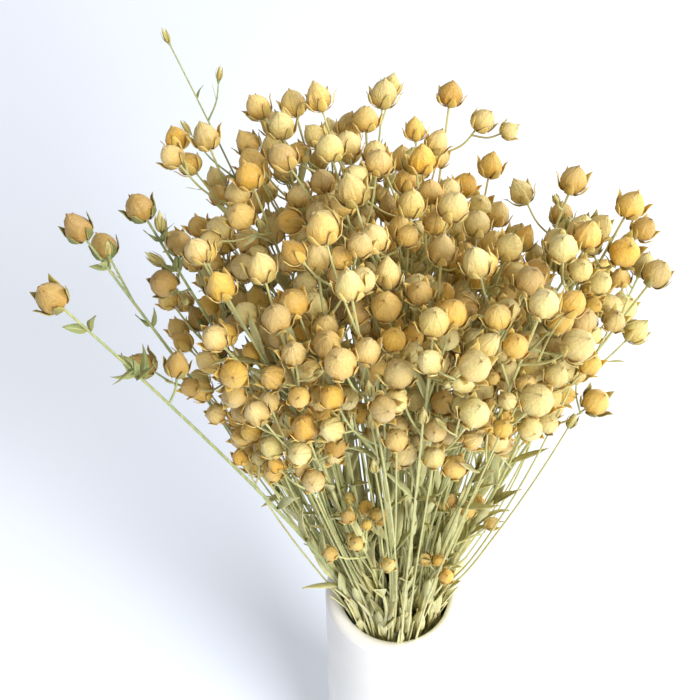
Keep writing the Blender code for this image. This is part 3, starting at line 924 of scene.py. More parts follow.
fine = random.Random(FINE_SEED)
bunch = []
for number, stem in enumerate(stems):
    growth = Growth(number, stem)
    bare = number == BARE_SPRIG
    outer = number < OUTER_STEMS
    heights = [step * RING_SPACING for step in range(int(stem.top / RING_SPACING))]
    stalk = stem.path[:2] + [stem.at(height) for height in heights] + [stem.at(stem.top)]
    growth.branches.append((stalk, *(BARE_STALK_RADII if bare else STALK_RADII)))
    growth.carry("buds" if bare else "capsules", stem.path, stem.scale)
    growth.leaves += stem.blades
    for path, scale in stem.shoots:
        growth.grow_arm(path, scale, bare)
    if not outer:
        growth.grow_shoots()
    # The outer stems leave out the topmost stretch
    for leaves in LEAF_STRETCHES[:-1] if outer else LEAF_STRETCHES:
        growth.grow_leaves(*leaves)
    for tuft in TUFTS.get(number, []):
        growth.grow_tuft(*tuft)
    bunch.append(growth)


# A seed capsule is a round papery pod of five chambers. Thin brown seams part them and close in a
# short hard point on top. It grew on the plant and dried there, so no two have quite one shape.
CAPSULE_RADIUS = CAPSULE_WIDTH / 2
CAPSULE_SEGMENTS = 20
CAPSULE_RINGS = 9
CHAMBERS = 5
SEAM_REACH = math.radians(2)
SHOULDER_START = 1.5 * CAPSULE_RADIUS
POINT_START = 1.99 * CAPSULE_RADIUS
POINT_PULL = 1.1 * CAPSULE_RADIUS
BEAK_WIDTH = 0.8 * MM
BEAK_LENGTH = 0.6 * MM
BEAK_INSET = 0.22 * CAPSULE_RADIUS
FOLD_ANGLE = math.radians(33)
CAPSULE_CREAM = (0.80, 0.69, 0.25, 1)
CAPSULE_TAN = (0.64, 0.43, 0.11, 1)
CAPSULE_GOLD = (0.82, 0.47, 0.03, 1)
CAPSULE_GREEN = (0.47, 0.48, 0.10, 1)
CAPSULE_PALE_STREAK_AND_LIGHT = (0.87, 0.78, 0.43, 1)
CAPSULE_DARK_AND_SHADE = (0.34, 0.20, 0.045, 1)
# Partly the base's own brown, partly painted shade on each capsule's lower half
CAPSULE_FOOT_AND_SHADE = (0.40, 0.205, 0.015, 1)
SEAM_BROWN = (0.30, 0.12, 0.02, 1)
POINT_BROWN = (0.11, 0.05, 0.015, 1)
CAPSULE_STREAKS = (85.0, 5.0, 1.0)
CAPSULE_ROUGHNESS = (0.64, 0.44)
CAPSULE_GLOW = (0.32, 2.5 * MM, 0.60)
CAPSULE_RELIEF = (0.8, 0.34 * MM)
CAPSULE_SHEEN = 0.10

CAPSULE_SHAPES = {
    # name: height share, point's height share, seam depth, width share at the shoulder, wrinkles
    "plump": (0.98, 0.16, 0.025, 0.98, 0.16 * MM),
    "broad": (0.92, 0.20, -0.060, 0.92, 0.20 * MM),
    "ribbed": (0.98, 0.20, 0.060, 0.95, 0.18 * MM),
    "pointed": (1.03, 0.40, -0.070, 0.80, 0.18 * MM),
    "opening": (1.00, 0.26, 0.110, 0.88, 0.22 * MM),
    "small": (0.99, 0.26, 0.035, 0.90, 0.14 * MM),
    "pinched": (0.94, 0.30, -0.045, 0.86, 0.26 * MM),
}


def resize(value, **settings):
    """In edit mode, resizes what is selected, measured from the origin."""
    bpy.ops.transform.resize(value=value, center_override=(0, 0, 0), **settings)


def start_sphere(name, radius):
    """A round skin over the origin, in edit mode: the start of a capsule or of a sepal."""
    bpy.ops.object.select_all(action="DESELECT")
    bpy.ops.mesh.primitive_uv_sphere_add(
        segments=CAPSULE_SEGMENTS,
        ring_count=CAPSULE_RINGS,
        radius=radius,
        location=(0, 0, CAPSULE_RADIUS),
    )
    skin = bpy.context.object
    skin.name = name
    skin.data.uv_layers[0].name = "Surface"
    bpy.ops.object.transform_apply(location=True)
    bpy.ops.object.mode_set(mode="EDIT")
    return skin


def on_seam(vertex, turn):
    """Whether a vertex lies on one of the five lines round the capsule, turned by an angle."""
    chamber = 2 * math.pi / CHAMBERS
    angle = (math.atan2(vertex.co.y, vertex.co.x) - turn) % chamber
    return vertex.co.xy.length > SMALL and min(angle, chamber - angle) < SEAM_REACH


def model_capsule(name, tall, point, groove, shoulder, wrinkle, seed):
    """One capsule, its base on the origin and its point up."""

    def pick_top(width):
        top = 2 * tall * CAPSULE_RADIUS
        pick(capsule, "VERT", lambda vertex: vertex.co.z > top and vertex.co.xy.length < width)

    capsule = start_sphere(name, CAPSULE_RADIUS)
    pick(capsule, "VERT", lambda vertex: vertex.co.z > SHOULDER_START)
    resize(
        (shoulder, shoulder, 1),
        use_proportional_edit=True,
        proportional_edit_falloff="SMOOTH",
        proportional_size=CAPSULE_RADIUS,
    )
    # The seams sink in, and the ribs between them a quarter as much
    for turn, sinks in ((0, groove), (math.pi / CHAMBERS, groove / 4)):
        pick(capsule, "VERT", lambda vertex: on_seam(vertex, turn))
        resize((1 - sinks, 1 - sinks, 1))
    pick(capsule, "VERT", lambda vertex: vertex.co.z > POINT_START)
    bpy.ops.transform.translate(
        value=(0, 0, point * CAPSULE_RADIUS),
        use_proportional_edit=True,
        proportional_edit_falloff="SHARP",
        proportional_size=POINT_PULL,
    )
    bpy.ops.mesh.select_all(action="SELECT")
    resize((1, 1, tall))
    bpy.ops.transform.vertex_random(offset=wrinkle, seed=seed)
    pick_top(BEAK_WIDTH)
    bpy.ops.mesh.select_more()
    bpy.ops.mesh.inset(thickness=BEAK_INSET)
    pick_top(BEAK_WIDTH / 2)
    bpy.ops.transform.translate(value=(0, 0, BEAK_LENGTH))
    bpy.ops.object.mode_set(mode="OBJECT")
    bpy.ops.object.shade_smooth_by_angle(angle=FOLD_ANGLE)
    return capsule


# Dried plant fibre, shared by every part of the stems: streaks that run one way over the surface,
# blotches where it faded unevenly, a fine relief, and creases.
BLOTCHES_TO_A_METRE = 260.0
GRAINS_TO_A_METRE = 1800.0
FOLDS_TO_A_METRE = 430.0
WARM_GLOW = (1.0, 0.50, 0.20)
THIN_GLOSS = 0.35

fibre_tree = bpy.data.node_groups.new("dried_fibres", "ShaderNodeTree")
for socket in ("Streak Place", "Blotch Place"):
    fibre_tree.interface.new_socket(socket, in_out="INPUT", socket_type="NodeSocketVector")
for socket in ("Streaks", "Blotches", "Relief", "Creases"):
    fibre_tree.interface.new_socket(socket, in_out="OUTPUT", socket_type="NodeSocketFloat")
fibres = Nodes(fibre_tree)
given = fibres.add("NodeGroupInput").outputs
result = fibres.add("NodeGroupOutput").inputs
streaks = fibres.noise(given["Streak Place"], 1.0, 3.0)
blotches = fibres.noise(given["Blotch Place"], BLOTCHES_TO_A_METRE, 3.0)
grain = fibres.noise(given["Blotch Place"], GRAINS_TO_A_METRE)
folds = fibres.noise(given["Blotch Place"], FOLDS_TO_A_METRE, 1.0)
fibres.join(fibres.remap(streaks, 0.35, 0.65, 0, 1), result["Streaks"])
fibres.join(fibres.remap(blotches, 0.38, 0.66, 0, 1), result["Blotches"])
fibres.join(fibres.math("MULTIPLY_ADD", grain, 0.4, streaks), result["Relief"])
fibres.join(fibres.remap(fibres.distance(folds, 0.5), 0.0, 0.09, 0, 1), result["Creases"])


class PlantFinish(Finish):
    """A finish for dried plant skin, with the fibres in it and each copy's own mix of colours."""

    def __init__(self, name, colour, stretch, along_surface=True):
        super().__init__(name, colour)
        surface = self.add("ShaderNodeUVMap", uv_map="Surface").outputs["UV"]
        self.round_it, self.up_it, _ = self.split("XYZ", "Vector", surface)
        source = {0: surface if along_surface else self.place, 1: stretch}
        stretched = self.add("ShaderNodeVectorMath", source, operation="MULTIPLY").outputs[0]
        places = {"Streak Place": stretched, "Blotch Place": self.place}
        self.fibres = self.add("ShaderNodeGroup", node_tree=fibre_tree)
        for socket, place in places.items():
            self.join(place, self.fibres.inputs[socket])
        self.streaks = self.fibres.outputs["Streaks"]
        self.blotches = self.fibres.outputs["Blotches"]
        self.relief = self.fibres.outputs["Relief"]
        self.tone = self.painted("Tone")

    def painted(self, layer):
        """The three shares that every copy of a model holds in one of its colour layers."""
        colour = self.add("ShaderNodeAttribute", attribute_name=layer).outputs["Color"]
        return self.split("Color", "Color", colour)

    def glow(self, weight, depth, gloss=THIN_GLOSS):
        """Lets light into a thin dry wall, so that it glows warm on its shaded side."""
        self.set("Subsurface Weight", weight)
        self.set("Subsurface Radius", WARM_GLOW)
        self.set("Subsurface Scale", depth)
        self.set("Specular IOR Level", gloss)


papery = PlantFinish("papery_capsule", CAPSULE_CREAM, CAPSULE_STREAKS)
tan_share, _, gold_share = papery.tone
green_share, seam_strength, darkening_and_shade = papery.painted("WearAndShade")
wobble = papery.math("MULTIPLY_ADD", papery.blotches, 0.006, papery.round_it)
chamber = papery.math("FRACT", papery.math("MULTIPLY", wobble, float(CHAMBERS)))
from_seam = papery.distance(chamber, 0.5)
seam = papery.remap(from_seam, 0.008, 0.028, 0.70, 0)
rib = papery.remap(from_seam, 0.470, 0.494, 0, 0.30)
fade = papery.math("MULTIPLY", papery.remap(papery.up_it, 0.12, 0.55, 0.25, 1), seam_strength)
lines = papery.math("MULTIPLY", papery.math("MAXIMUM", seam, rib), fade)
# The golden capsules take less of the pale streaks and less of the painted light on their tops
pale_and_light_share = papery.math("MULTIPLY_ADD", gold_share, -0.75, 1.0)
papery.lay(CAPSULE_TAN, tan_share)
papery.lay(CAPSULE_GOLD, gold_share)
papery.lay(CAPSULE_GREEN, green_share)
papery.lay(CAPSULE_TAN, papery.blotches, 0.35)
papery.lay(CAPSULE_PALE_STREAK_AND_LIGHT, papery.math("MULTIPLY", papery.streaks, 0.28), pale_and_light_share)
# Painted light: the upper part of each capsule is laid paler, where light from above falls on it
papery.lay(CAPSULE_PALE_STREAK_AND_LIGHT, papery.remap(papery.up_it, 0.45, 0.85, 0, 0.32), pale_and_light_share)
# Darker brown: painted shade on the outermost stems at the left, where the light falls off, and a
# random darker tone on the rest
papery.lay(CAPSULE_DARK_AND_SHADE, darkening_and_shade)
# Browner towards the base: partly the base's own colour, partly painted shade on the lower half
papery.lay(CAPSULE_FOOT_AND_SHADE, papery.remap(papery.up_it, 0.08, 0.70, 0.90, 0))
papery.lay(SEAM_BROWN, lines)
papery.lay(POINT_BROWN, papery.remap(papery.up_it, 0.965, 0.995, 0, 0.75))
height = papery.math("MULTIPLY_ADD", lines, -0.8, papery.relief)
height = papery.math("MULTIPLY_ADD", papery.fibres.outputs["Creases"], 0.35, height)
papery.set("Roughness", papery.remap(papery.streaks, 0, 1, *CAPSULE_ROUGHNESS))
papery.set("Sheen Weight", CAPSULE_SHEEN)
papery.glow(*CAPSULE_GLOW)
papery.emboss(height, *CAPSULE_RELIEF)

capsule_models = []
for count, (name, shape) in enumerate(CAPSULE_SHAPES.items()):
    capsule_models.append(model_capsule(f"{name}_capsule", *shape, seed=count))
for model in capsule_models:
    model.data.materials.append(papery.material)


# Five pointed sepals hold each capsule's base, and their dry tips stand out from it. A sepal is a
# thin curved scale with a darker rib. Those of the outermost stems on the left are still green.
SEPAL_GAP = 1.07
SEPAL_THICKNESS = 0.16 * MM
SEPAL_ROWS = 6
SEPAL_WIDTHS = (1.25, 1.35, 1.22, 0.95, 0.58)
# How far the tip and the row below it bend out and up, and how much more by the flare
TIP_BEND = ((0.16, 0.30), (0.10, -0.16))
ROW_BEND = ((0.02, 0.08), (-0.02, 0))
SEPAL_TURN = 0.10
SEPAL_STANDS = (1.00, 1.10)
SEPAL_LENGTHS = (0.84, 1.12)
SEPAL_STRAW = (0.74, 0.60, 0.20, 1)
SEPAL_TAN = (0.60, 0.41, 0.11, 1)
SEPAL_GREEN = (0.055, 0.12, 0.030, 1)
SEPAL_VEIN = (0.42, 0.22, 0.05, 1)
SEPAL_MARGIN = (0.86, 0.74, 0.38, 1)
SEPAL_STREAKS = (220.0, 9.0, 1.0)
DRY_ROUGHNESS = (0.6, 0.8)
DRY_GLOW = (0.12, 1.5 * MM)
DRY_RELIEF = (0.4, 0.2 * MM)
SEPAL_POSES = {
    # capsule: how far the tips bend out, and the sepals' length share
    "plump": (0.35, 0.92),
    "broad": (0.70, 0.88),
    "ribbed": (0.90, 0.98),
    "pointed": (0.30, 0.98),
    "opening": (1.20, 0.94),
    "small": (0.25, 1.02),
    "pinched": (0.70, 1.00),
}


def row_height(row):
    """The height of a row of the sphere's points, counted from its foot."""
    return CAPSULE_RADIUS * (1 - SEPAL_GAP * math.cos(math.pi * row / CAPSULE_RINGS))


def model_sepal(flare, length):
    """One sepal in the XZ plane: a slice of a sphere's skin, narrowed to a point that bends out."""
    sepal = start_sphere("sepal", SEPAL_GAP * CAPSULE_RADIUS)

    def is_outside(face):
        middle = face.calc_center_median()
        beside = abs(math.atan2(middle.y, middle.x)) > 2 * math.pi / CAPSULE_SEGMENTS
        return beside or middle.z > row_height(SEPAL_ROWS)

    def pick_row(row):
        pick(sepal, "VERT", lambda vertex: abs(vertex.co.z - row_height(row)) < SMALL)

    def bend(out, up):
        shift = [(start + more * flare) * CAPSULE_RADIUS for start, more in (out, up)]
        bpy.ops.transform.translate(value=(shift[0], 0, shift[1]))

    pick(sepal, "FACE", is_outside)
    bpy.ops.mesh.delete(type="FACE")
    for row, width in enumerate(SEPAL_WIDTHS, 1):
        pick_row(row)
        resize((1, width, 1))
    pick(sepal, "VERT", lambda vertex: vertex.co.z > row_height(SEPAL_ROWS) - SMALL)
    bpy.ops.mesh.merge(type="CENTER")
    bend(*TIP_BEND)
    pick_row(SEPAL_ROWS - 1)
    bend(*ROW_BEND)
    bpy.ops.mesh.select_all(action="SELECT")
    resize((1, 1, length))
    bpy.ops.object.mode_set(mode="OBJECT")
    thicken(sepal, SEPAL_THICKNESS, 1)
    sepal.data.materials.append(leathery.material)
    return sepal


def thicken(skin, thickness, offset):
    """Gives a thin skin its wall, all outwards (offset 1) or to both sides (0), and smooths it."""
    wall = skin.modifiers.new("wall", "SOLIDIFY")
    wall.thickness = thickness
    wall.offset = offset
    bpy.ops.object.modifier_apply(modifier="wall")
    bpy.ops.object.shade_smooth()


def join_into(first, others):
    """Joins objects into the first one."""
    bpy.ops.object.select_all(action="DESELECT")
    for thing in [first, *others]:
        thing.select_set(True)
    bpy.context.view_layer.objects.active = first
    bpy.ops.object.join()


def paint(mesh, layer, shares):
    """Writes one colour to all of a mesh: its shares steer the blends in the finish."""
    colours = mesh.attributes.new(layer, "FLOAT_COLOR", "POINT")
    colours.data.foreach_set("color", [*shares, 1.0] * len(mesh.vertices))


def copy_of(model, matrix, tone=None, wear_and_shade=(0, 1, 0)):
    """A copy of a model with its own mesh, set down by a matrix, with its own tone of colour."""
    mesh = model.data.copy()
    mesh.transform(matrix)
    if tone:
        paint(mesh, "Tone", tone)
        paint(mesh, "WearAndShade", wear_and_shade)
    made = bpy.data.objects.new(model.name, mesh)
    bpy.context.scene.collection.objects.link(made)
    return made


def add_whorl(model, sepal, pose_sepal, first_turn=0):
    """Sets five copies of a sepal round a model's base, and removes the sepal itself.

    The first copy is turned by a share of a chamber. pose_sepal gives each copy a further turn
    and its stretch.
    """
    whorl = []
    for count in range(CHAMBERS):
        turn, stretch = pose_sepal()
        turn += 2 * math.pi * (count + first_turn) / CHAMBERS
        whorl.append(copy_of(sepal, Matrix.Rotation(turn, 4, "Z") @ Matrix.Diagonal(stretch)))
    bpy.data.objects.remove(sepal)
    join_into(model, whorl)


leathery = PlantFinish("dry_sepal", SEPAL_STRAW, SEPAL_STREAKS)
tan_share, green_share, gold_share = leathery.tone
from_rib = leathery.distance(leathery.round_it, 0.5)
rib = leathery.remap(from_rib, 0.001, 0.005, 0.6, 0)
side_vein = leathery.remap(leathery.distance(from_rib, 0.018), 0.001, 0.004, 0.4, 0)
margin = leathery.remap(from_rib, 0.036, 0.048, 0, 0.6)
tip = leathery.remap(leathery.up_it, 0.58, 0.67, 0, 0.8)
# Veins, margins and tips hardly show on a sepal that is still green
dryness = leathery.math("MULTIPLY_ADD", green_share, -0.65, 1.0)
leathery.lay(SEPAL_TAN, tan_share)
leathery.lay(CAPSULE_GOLD, gold_share, 0.6)
leathery.lay(SEPAL_GREEN, green_share)
leathery.lay(SEPAL_STRAW, leathery.streaks, 0.25)
leathery.lay(SEPAL_VEIN, leathery.blotches, 0.20)
leathery.lay(SEPAL_MARGIN, margin, dryness)
leathery.lay(SEPAL_VEIN, leathery.math("MAXIMUM", rib, side_vein), dryness)
leathery.lay(SEPAL_VEIN, tip, dryness)
leathery.set("Roughness", leathery.remap(leathery.blotches, 0, 1, *DRY_ROUGHNESS))
leathery.glow(*DRY_GLOW)
leathery.emboss(leathery.math("MULTIPLY_ADD", rib, 0.8, leathery.relief), *DRY_RELIEF)


def pose_dry_sepal():
    """A dry sepal's own small turn, and how far it stands out and reaches up."""
    turn = fine.uniform(-SEPAL_TURN, SEPAL_TURN)
    return turn, (fine.uniform(*SEPAL_STANDS), 1, fine.uniform(*SEPAL_LENGTHS), 1)


for model, (flare, length) in zip(capsule_models, SEPAL_POSES.values()):
    add_whorl(model, model_sepal(flare, length), pose_dry_sepal, first_turn=0.5)


# A bud is a young capsule that stayed small and shut, wrapped to its tip in its five sepals.
# Buds are still greenish, and stand on short thin stalks below the ripe capsules.
BUD_WIDTH = 0.78
BUD_HEIGHT = 1.5
BUD_SEED = 20
# The body's shape as in CAPSULE_SHAPES, and the sepals' pose as in SEPAL_POSES
BUD_SHAPE = (1.0, 0.5, 0.02, 0.75, 0.03 * MM)
BUD_SEPAL = (-0.75, 1.22)
BUD_SEPAL_STRETCH = (0.88, 0.95, 1, 1)
BUD_SEAMS = 0.3

bud_model = model_capsule("flower_bud", *BUD_SHAPE, seed=BUD_SEED)
bud_model.data.transform(Matrix.Diagonal((BUD_WIDTH, BUD_WIDTH, 1, 1)))
bud_model.data.materials.append(papery.material)
add_whorl(bud_model, model_sepal(*BUD_SEPAL), lambda: (0, BUD_SEPAL_STRETCH))
bud_model.data.transform(Matrix.Diagonal((1, 1, BUD_HEIGHT, 1)))


# The leaves are narrow pointed blades without stalks, folded along the rib, arched and twisted as
# they dried, and grey-green to straw in colour. Leaves and stalks alike are painted paler low down,
# near the vase's mouth: painted light where the crown above shades them.
LEAF_DRAWN_WIDTH = 1.05
LEAF_ROWS = 6
LEAF_THICKNESS = 0.18 * MM
LEAF_FOLD = 0.35 * MM
LEAF_ROOT_WIDTH = 0.12
LEAF_TIP_WIDTH = 0.02
LEAF_SAGE = (0.54, 0.57, 0.28, 1)
LEAF_STRAW = (0.68, 0.60, 0.28, 1)
LEAF_GREEN = (0.10, 0.19, 0.05, 1)
LEAF_FADED = (0.62, 0.55, 0.28, 1)
LEAF_DARK = (0.34, 0.30, 0.11, 1)
LEAF_RIB = (0.50, 0.50, 0.27, 1)
LEAF_STREAKS = (26.0, 5.0, 1.0)
PAINTED_LIGHT_PALE = (0.80, 0.76, 0.43, 1)
PAINTED_LIGHT_HEIGHTS = (180 * MM, 275 * MM)
PAINTED_LIGHT_SHARE = 0.85
LEAF_SHAPES = [
    # arch and twist, in degrees, the straight one first
    (4, 20),
    (36, 40),
    (-14, 95),
    (26, -60),
]


def painted_light_low(finish):
    """The share of painted light by height: most inside the vase, and none in the crown."""
    height = finish.split("XYZ", "Vector", finish.place)["Z"]
    return finish.remap(height, *PAINTED_LIGHT_HEIGHTS, PAINTED_LIGHT_SHARE, 0)


withered = PlantFinish("withered_leaf", LEAF_STRAW, LEAF_STREAKS)
_, sage_share, green_share = withered.tone
rib = withered.remap(withered.distance(withered.round_it, 0.5), 0.02, 0.10, 0.8, 0)
withered.lay(LEAF_SAGE, sage_share)
withered.lay(LEAF_GREEN, green_share)
withered.lay(LEAF_FADED, withered.streaks, 0.30)
withered.lay(LEAF_DARK, withered.blotches, 0.35)
withered.lay(LEAF_RIB, rib)
# Painted light: paler low down, near the vase's mouth
withered.lay(PAINTED_LIGHT_PALE, painted_light_low(withered))
withered.lay(SEPAL_VEIN, withered.remap(withered.up_it, 0.85, 1.0, 0, 0.35))
withered.set("Roughness", withered.remap(withered.blotches, 0, 1, *DRY_ROUGHNESS))
withered.glow(*DRY_GLOW)
withered.emboss(withered.math("MULTIPLY_ADD", rib, 0.6, withered.relief), *DRY_RELIEF)


def leaf_width(share):
    """A leaf's width share along its length: narrow at the root, widest before its middle."""
    outline = math.sin(math.pi * share**0.75) ** 0.85
    return max(LEAF_ROOT_WIDTH * (1 - share), outline, LEAF_TIP_WIDTH)


def model_leaf(arch, twist):
    """One leaf from the origin along +Y, its face up."""
    bpy.ops.object.select_all(action="DESELECT")
    bpy.ops.mesh.primitive_grid_add(
        x_subdivisions=2,
        y_subdivisions=LEAF_ROWS,
        size=LEAF_LENGTH,
        location=(0, LEAF_LENGTH / 2, 0),
    )
    leaf = bpy.context.object
    leaf.name = "narrow_leaf"
    leaf.data.uv_layers[0].name = "Surface"
    bpy.ops.object.transform_apply(location=True)
    bpy.ops.object.mode_set(mode="EDIT")
    pick(leaf, "VERT", lambda vertex: abs(vertex.co.x) < SMALL)
    bpy.ops.transform.translate(value=(0, 0, -LEAF_FOLD))
    for row in range(LEAF_ROWS + 1):
        share = row / LEAF_ROWS
        pick(leaf, "VERT", lambda vertex: abs(vertex.co.y - share * LEAF_LENGTH) < SMALL)
        width = leaf_width(share) * 2 * LEAF_HALF_WIDTH * LEAF_DRAWN_WIDTH / LEAF_LENGTH
        resize((width, 1, 1))
        drop = LEAF_LENGTH * math.tan(math.radians(arch) / 2) * share**2
        bpy.ops.transform.translate(value=(0, 0, -drop))
    bpy.ops.object.mode_set(mode="OBJECT")
    turn = leaf.modifiers.new("twist", "SIMPLE_DEFORM")
    turn.deform_method = "TWIST"
    turn.deform_axis = "Y"
    turn.angle = math.radians(twist)
    bpy.ops.object.modifier_apply(modifier="twist")
    thicken(leaf, LEAF_THICKNESS, 0)
    leaf.data.materials.append(withered.material)
    return leaf


leaf_models = [model_leaf(arch, twist) for arch, twist in LEAF_SHAPES]


# The stalks and their branches are thin round fibrous stems, thicker where they carry a capsule.
# They dried sage green to straw. Each flax stem grew as one, so its stalk, arms, capsules, buds
# and leaves become one piece, which stands loose in the vase.
STALK_SAGE = (0.45, 0.51, 0.25, 1)
STALK_STRAW = (0.66, 0.60, 0.25, 1)
STALK_DARK = (0.32, 0.29, 0.08, 1)
STALK_GREEN = (0.17, 0.26, 0.13, 1)
STALK_FOLD = math.radians(50)
STALK_TAPER = 0.7
HEAD_RADIUS = 0.75 * MM
HEAD_LENGTH = 1.4 * MM
STALK_STREAKS = (1500.0, 1500.0, 1500.0 / 14)
STALK_ROUGHNESS = (0.72, 0.52)
STALK_GLOW = (0.25, 1.5 * MM)
STALK_RELIEF = (0.5, 0.15 * MM)

bark = PlantFinish("fibrous_stalk", STALK_SAGE, STALK_STREAKS, along_surface=False)
straw_share, green_share, _ = bark.tone
bark.lay(STALK_STRAW, straw_share)
bark.lay(STALK_GREEN, green_share)
bark.lay(STALK_STRAW, bark.streaks, 0.40)
bark.lay(STALK_DARK, bark.blotches, 0.30)
# Painted light: paler low down, near the vase's mouth
bark.lay(PAINTED_LIGHT_PALE, painted_light_low(bark))
bark.set("Roughness", bark.remap(bark.streaks, 0, 1, *STALK_ROUGHNESS))
bark.glow(*STALK_GLOW)
bark.emboss(bark.relief, *STALK_RELIEF)


def draw_branches(name, branches, tone):
    """All branches of one stem as round tapering tubes, each thicker under what it carries."""
    curve = bpy.data.curves.new(name, "CURVE")
    curve.dimensions = "3D"
    curve.bevel_depth = 1
    curve.bevel_resolution = 1
    curve.use_fill_caps = True
    for points, foot_radius, tip_radius in branches:
        neck = points[-1] + (points[-2] - points[-1]).normalized() * HEAD_LENGTH
        points = [*points[:-1], neck, points[-1]]
        spline = curve.splines.new("POLY")
        spline.points.add(len(points) - 1)
        for index, (spot, point) in enumerate(zip(spline.points, points)):
            share = (index / (len(points) - 1)) ** STALK_TAPER
            spot.co = (*point, 1)
            spot.radius = foot_radius + (tip_radius - foot_radius) * share
        spline.points[-1].radius = HEAD_RADIUS
    tubes = bpy.data.objects.new(name, curve)
    bpy.context.scene.collection.objects.link(tubes)
    bpy.ops.object.select_all(action="DESELECT")
    tubes.select_set(True)
    bpy.context.view_layer.objects.active = tubes
    bpy.ops.object.convert(target="MESH")
    tubes = bpy.context.object
    tubes.data.uv_layers[0].name = "Surface"
    tubes.data.materials.clear()
    tubes.data.materials.append(bark.material)
    bpy.ops.object.mode_set(mode="EDIT")
    bpy.ops.mesh.select_all(action="SELECT")
    bpy.ops.mesh.remove_doubles(threshold=MERGE_WITHIN)
    bpy.ops.object.mode_set(mode="OBJECT")
    bpy.ops.object.shade_smooth_by_angle(angle=STALK_FOLD)
    paint(tubes.data, "Tone", tone)
    paint(tubes.data, "WearAndShade", (0, 1, 0))
    return tubes


def set_on(base, axis, scale):
    """The matrix that sets a capsule or bud on the end of its branch, turned by chance."""
    turn = axis.to_track_quat("Z", "Y").to_matrix().to_4x4()
    spin = Matrix.Rotation(fine.uniform(0, 2 * math.pi), 4, "Z")
    return Matrix.Translation(base) @ turn @ spin @ Matrix.Scale(scale, 4)


def set_leaf(root, along, side, length, width):
    """The matrix that sets a leaf on its stalk, its rib along one direction."""
    turn = Matrix((-side, along, along.cross(side))).transposed().to_4x4()
    sized = Matrix.Translation(root) @ turn @ Matrix.Scale(length / LEAF_LENGTH, 4)
    return sized @ Matrix.Diagonal((width, 1, 1, 1))


def drift(middle, by):
    """A share near the middle one."""
    return min(1, max(0, fine.gauss(middle, by)))


# How shapes and colours are shared out over the stems. The first two tuples say how often each
# model is taken, in the order of CAPSULE_SHAPES.
SMALL_MODELS = (2, 2, 4, 2, 2, 8, 2)
LARGE_MODELS = (8, 6, 5, 3, 3, 1, 5)
SMALL_CAPSULE = 0.8
CAPSULE_SWELL = 1.06
CAPSULE_TONES = [
    # tan, gold and green shares, how often, and how far they gather at the right of the bunch
    (0.10, 0.05, 0.00, 22, 0.9),
    (0.30, 0.15, 0.35, 12, 0.9),
    (0.95, 0.10, 0.00, 20, -0.9),
    (0.55, 0.60, 0.00, 24, -0.4),
    (0.15, 1.00, 0.05, 22, 0.0),
]
GREEN_TONE = (0.60, 0.60, 0.20)
YOUNG_TONE = (0.10, 0.80, 0.10)
TONE_DRIFT = 0.14
RIGHT_FRESHNESS = 0.7
GREEN_STEMS = (LONG_LEFT, UPPER_LEFT, THIRD_LEFT, BARE_SPRIG)
RIGHT_EDGE = (7, 8, 9)
GREEN_STEM_SEPALS = 0.95
RIGHT_EDGE_SEPALS = 0.50
OTHER_SEPALS = 0.16
SEPAL_FRESHNESS = 0.12
SEPAL_DRIFT = 0.20
GREEN_STEM_SHADE = (0.65, 0.90)
MOST_WEAR = 0.6
FAINTEST_SEAM = 0.15
GREEN_STALK = 0.8
OTHER_STALK = 0.05
MOST_STRAW = 0.55
SPARSE_BUD = 0.34
LARGEST_BUD = 0.5
# Buds: the green shares of their sepals, and of their bodies
SPRIG_BUD_GREENS = ((0.48, 0.62), 1.0)
BUD_GREENS = ((0.25, 0.60), 0.6)
LEAF_SAGE_SHARE = 0.60
LEAF_SAGE_DRIFT = 0.25
TUFT_GREENS = (0.6, 1)
PRESSED_BELOW = 34 * MM
PRESSED_WIDTH = 1.25


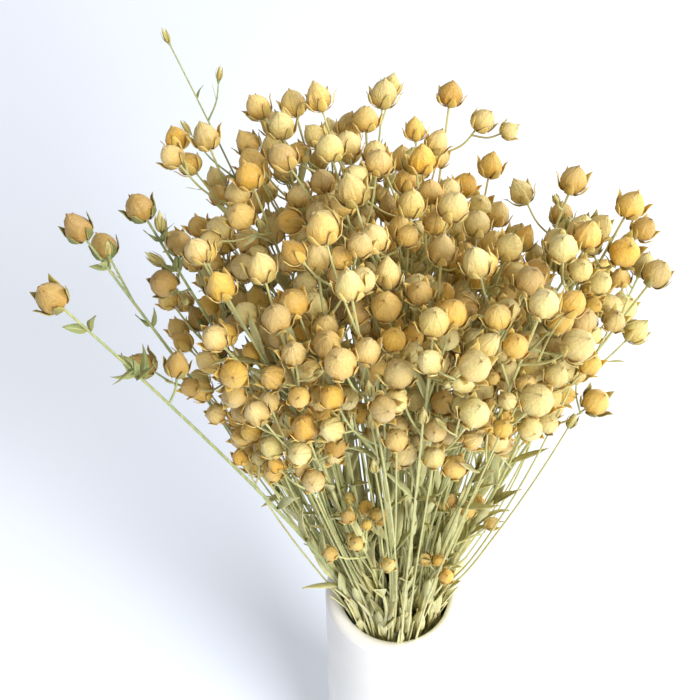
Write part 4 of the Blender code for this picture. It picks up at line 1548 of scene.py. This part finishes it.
def add_capsule(stem, number, base, axis, scale):
    """One capsule, its shape and colours drawn by its size and by where its stem stands."""
    model = fine.choices(capsule_models, SMALL_MODELS if scale < SMALL_CAPSULE else LARGE_MODELS)[0]
    fresh = RIGHT_FRESHNESS * stem.place.x
    often = [weight * (1 + right * fresh) for *_, weight, right in CAPSULE_TONES]
    middles = fine.choices(CAPSULE_TONES, often)[0][:3]
    sepals = OTHER_SEPALS
    if number in GREEN_STEMS:
        middles, sepals = GREEN_TONE, GREEN_STEM_SEPALS
    elif number in RIGHT_EDGE:
        sepals = RIGHT_EDGE_SEPALS
    elif number in SHORT_SPRIGS:
        middles = YOUNG_TONE
    sepals = drift(sepals + SEPAL_FRESHNESS * fresh, SEPAL_DRIFT)
    tan, gold, unripe = [drift(middle, TONE_DRIFT) for middle in middles]
    # The green stems at the left take painted shade, the others a random darker tone
    if number in GREEN_STEMS:
        darkening = fine.uniform(*GREEN_STEM_SHADE)
    else:
        darkening = fine.random() ** 3 * MOST_WEAR
    wear_and_shade = (unripe, fine.uniform(FAINTEST_SEAM, 1) ** 1.5, darkening)
    return copy_of(model, set_on(base, axis, scale * CAPSULE_SWELL), (tan, sepals, gold), wear_and_shade)


def add_bud(number, base, axis, scale):
    """One bud. The bare sprig's are the greenest."""
    sepal_greens, body_green = SPRIG_BUD_GREENS if number == BARE_SPRIG else BUD_GREENS
    tone = (0, fine.uniform(*sepal_greens), 0)
    scale = min(scale, SPARSE_BUD if number in SPARSE_STEMS else LARGEST_BUD)
    return copy_of(bud_model, set_on(base, axis, scale), tone, (body_green, BUD_SEAMS, 0))


def add_leaf(root, along, side, length):
    """One leaf: straight and broad where it is pressed in with the others, else of any shape."""
    pressed = root.z < VASE_HEIGHT + PRESSED_BELOW
    model = leaf_models[0] if pressed else fine.choice(leaf_models)
    tone = (0, drift(LEAF_SAGE_SHARE, LEAF_SAGE_DRIFT), 0)
    width = PRESSED_WIDTH if pressed else 1.0
    return copy_of(model, set_leaf(root, along, side, length, width), tone)


for number, (stem, growth) in enumerate(zip(stems, bunch)):
    name = f"flax_{number + 1:02d}"
    stalk_green = GREEN_STALK if number in GREEN_STEMS else OTHER_STALK
    stalk_tone = (fine.uniform(0.0, MOST_STRAW), stalk_green, 0)
    piece = draw_branches(name, growth.branches, stalk_tone)
    others = [add_capsule(stem, number, *head) for head in growth.capsules]
    others += [add_bud(number, *head) for head in growth.buds]
    others += [add_leaf(*leaf) for leaf in growth.leaves]
    for leaf in growth.tuft_leaves:
        model = fine.choice(leaf_models)
        others.append(copy_of(model, set_leaf(*leaf), (0, 1, fine.uniform(*TUFT_GREENS))))
    join_into(piece, others)
    piece.name = name
    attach(piece, "root")
    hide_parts(f"stem_{number + 1:02d}")

for model in [*capsule_models, bud_model, *leaf_models]:
    bpy.data.objects.remove(model)
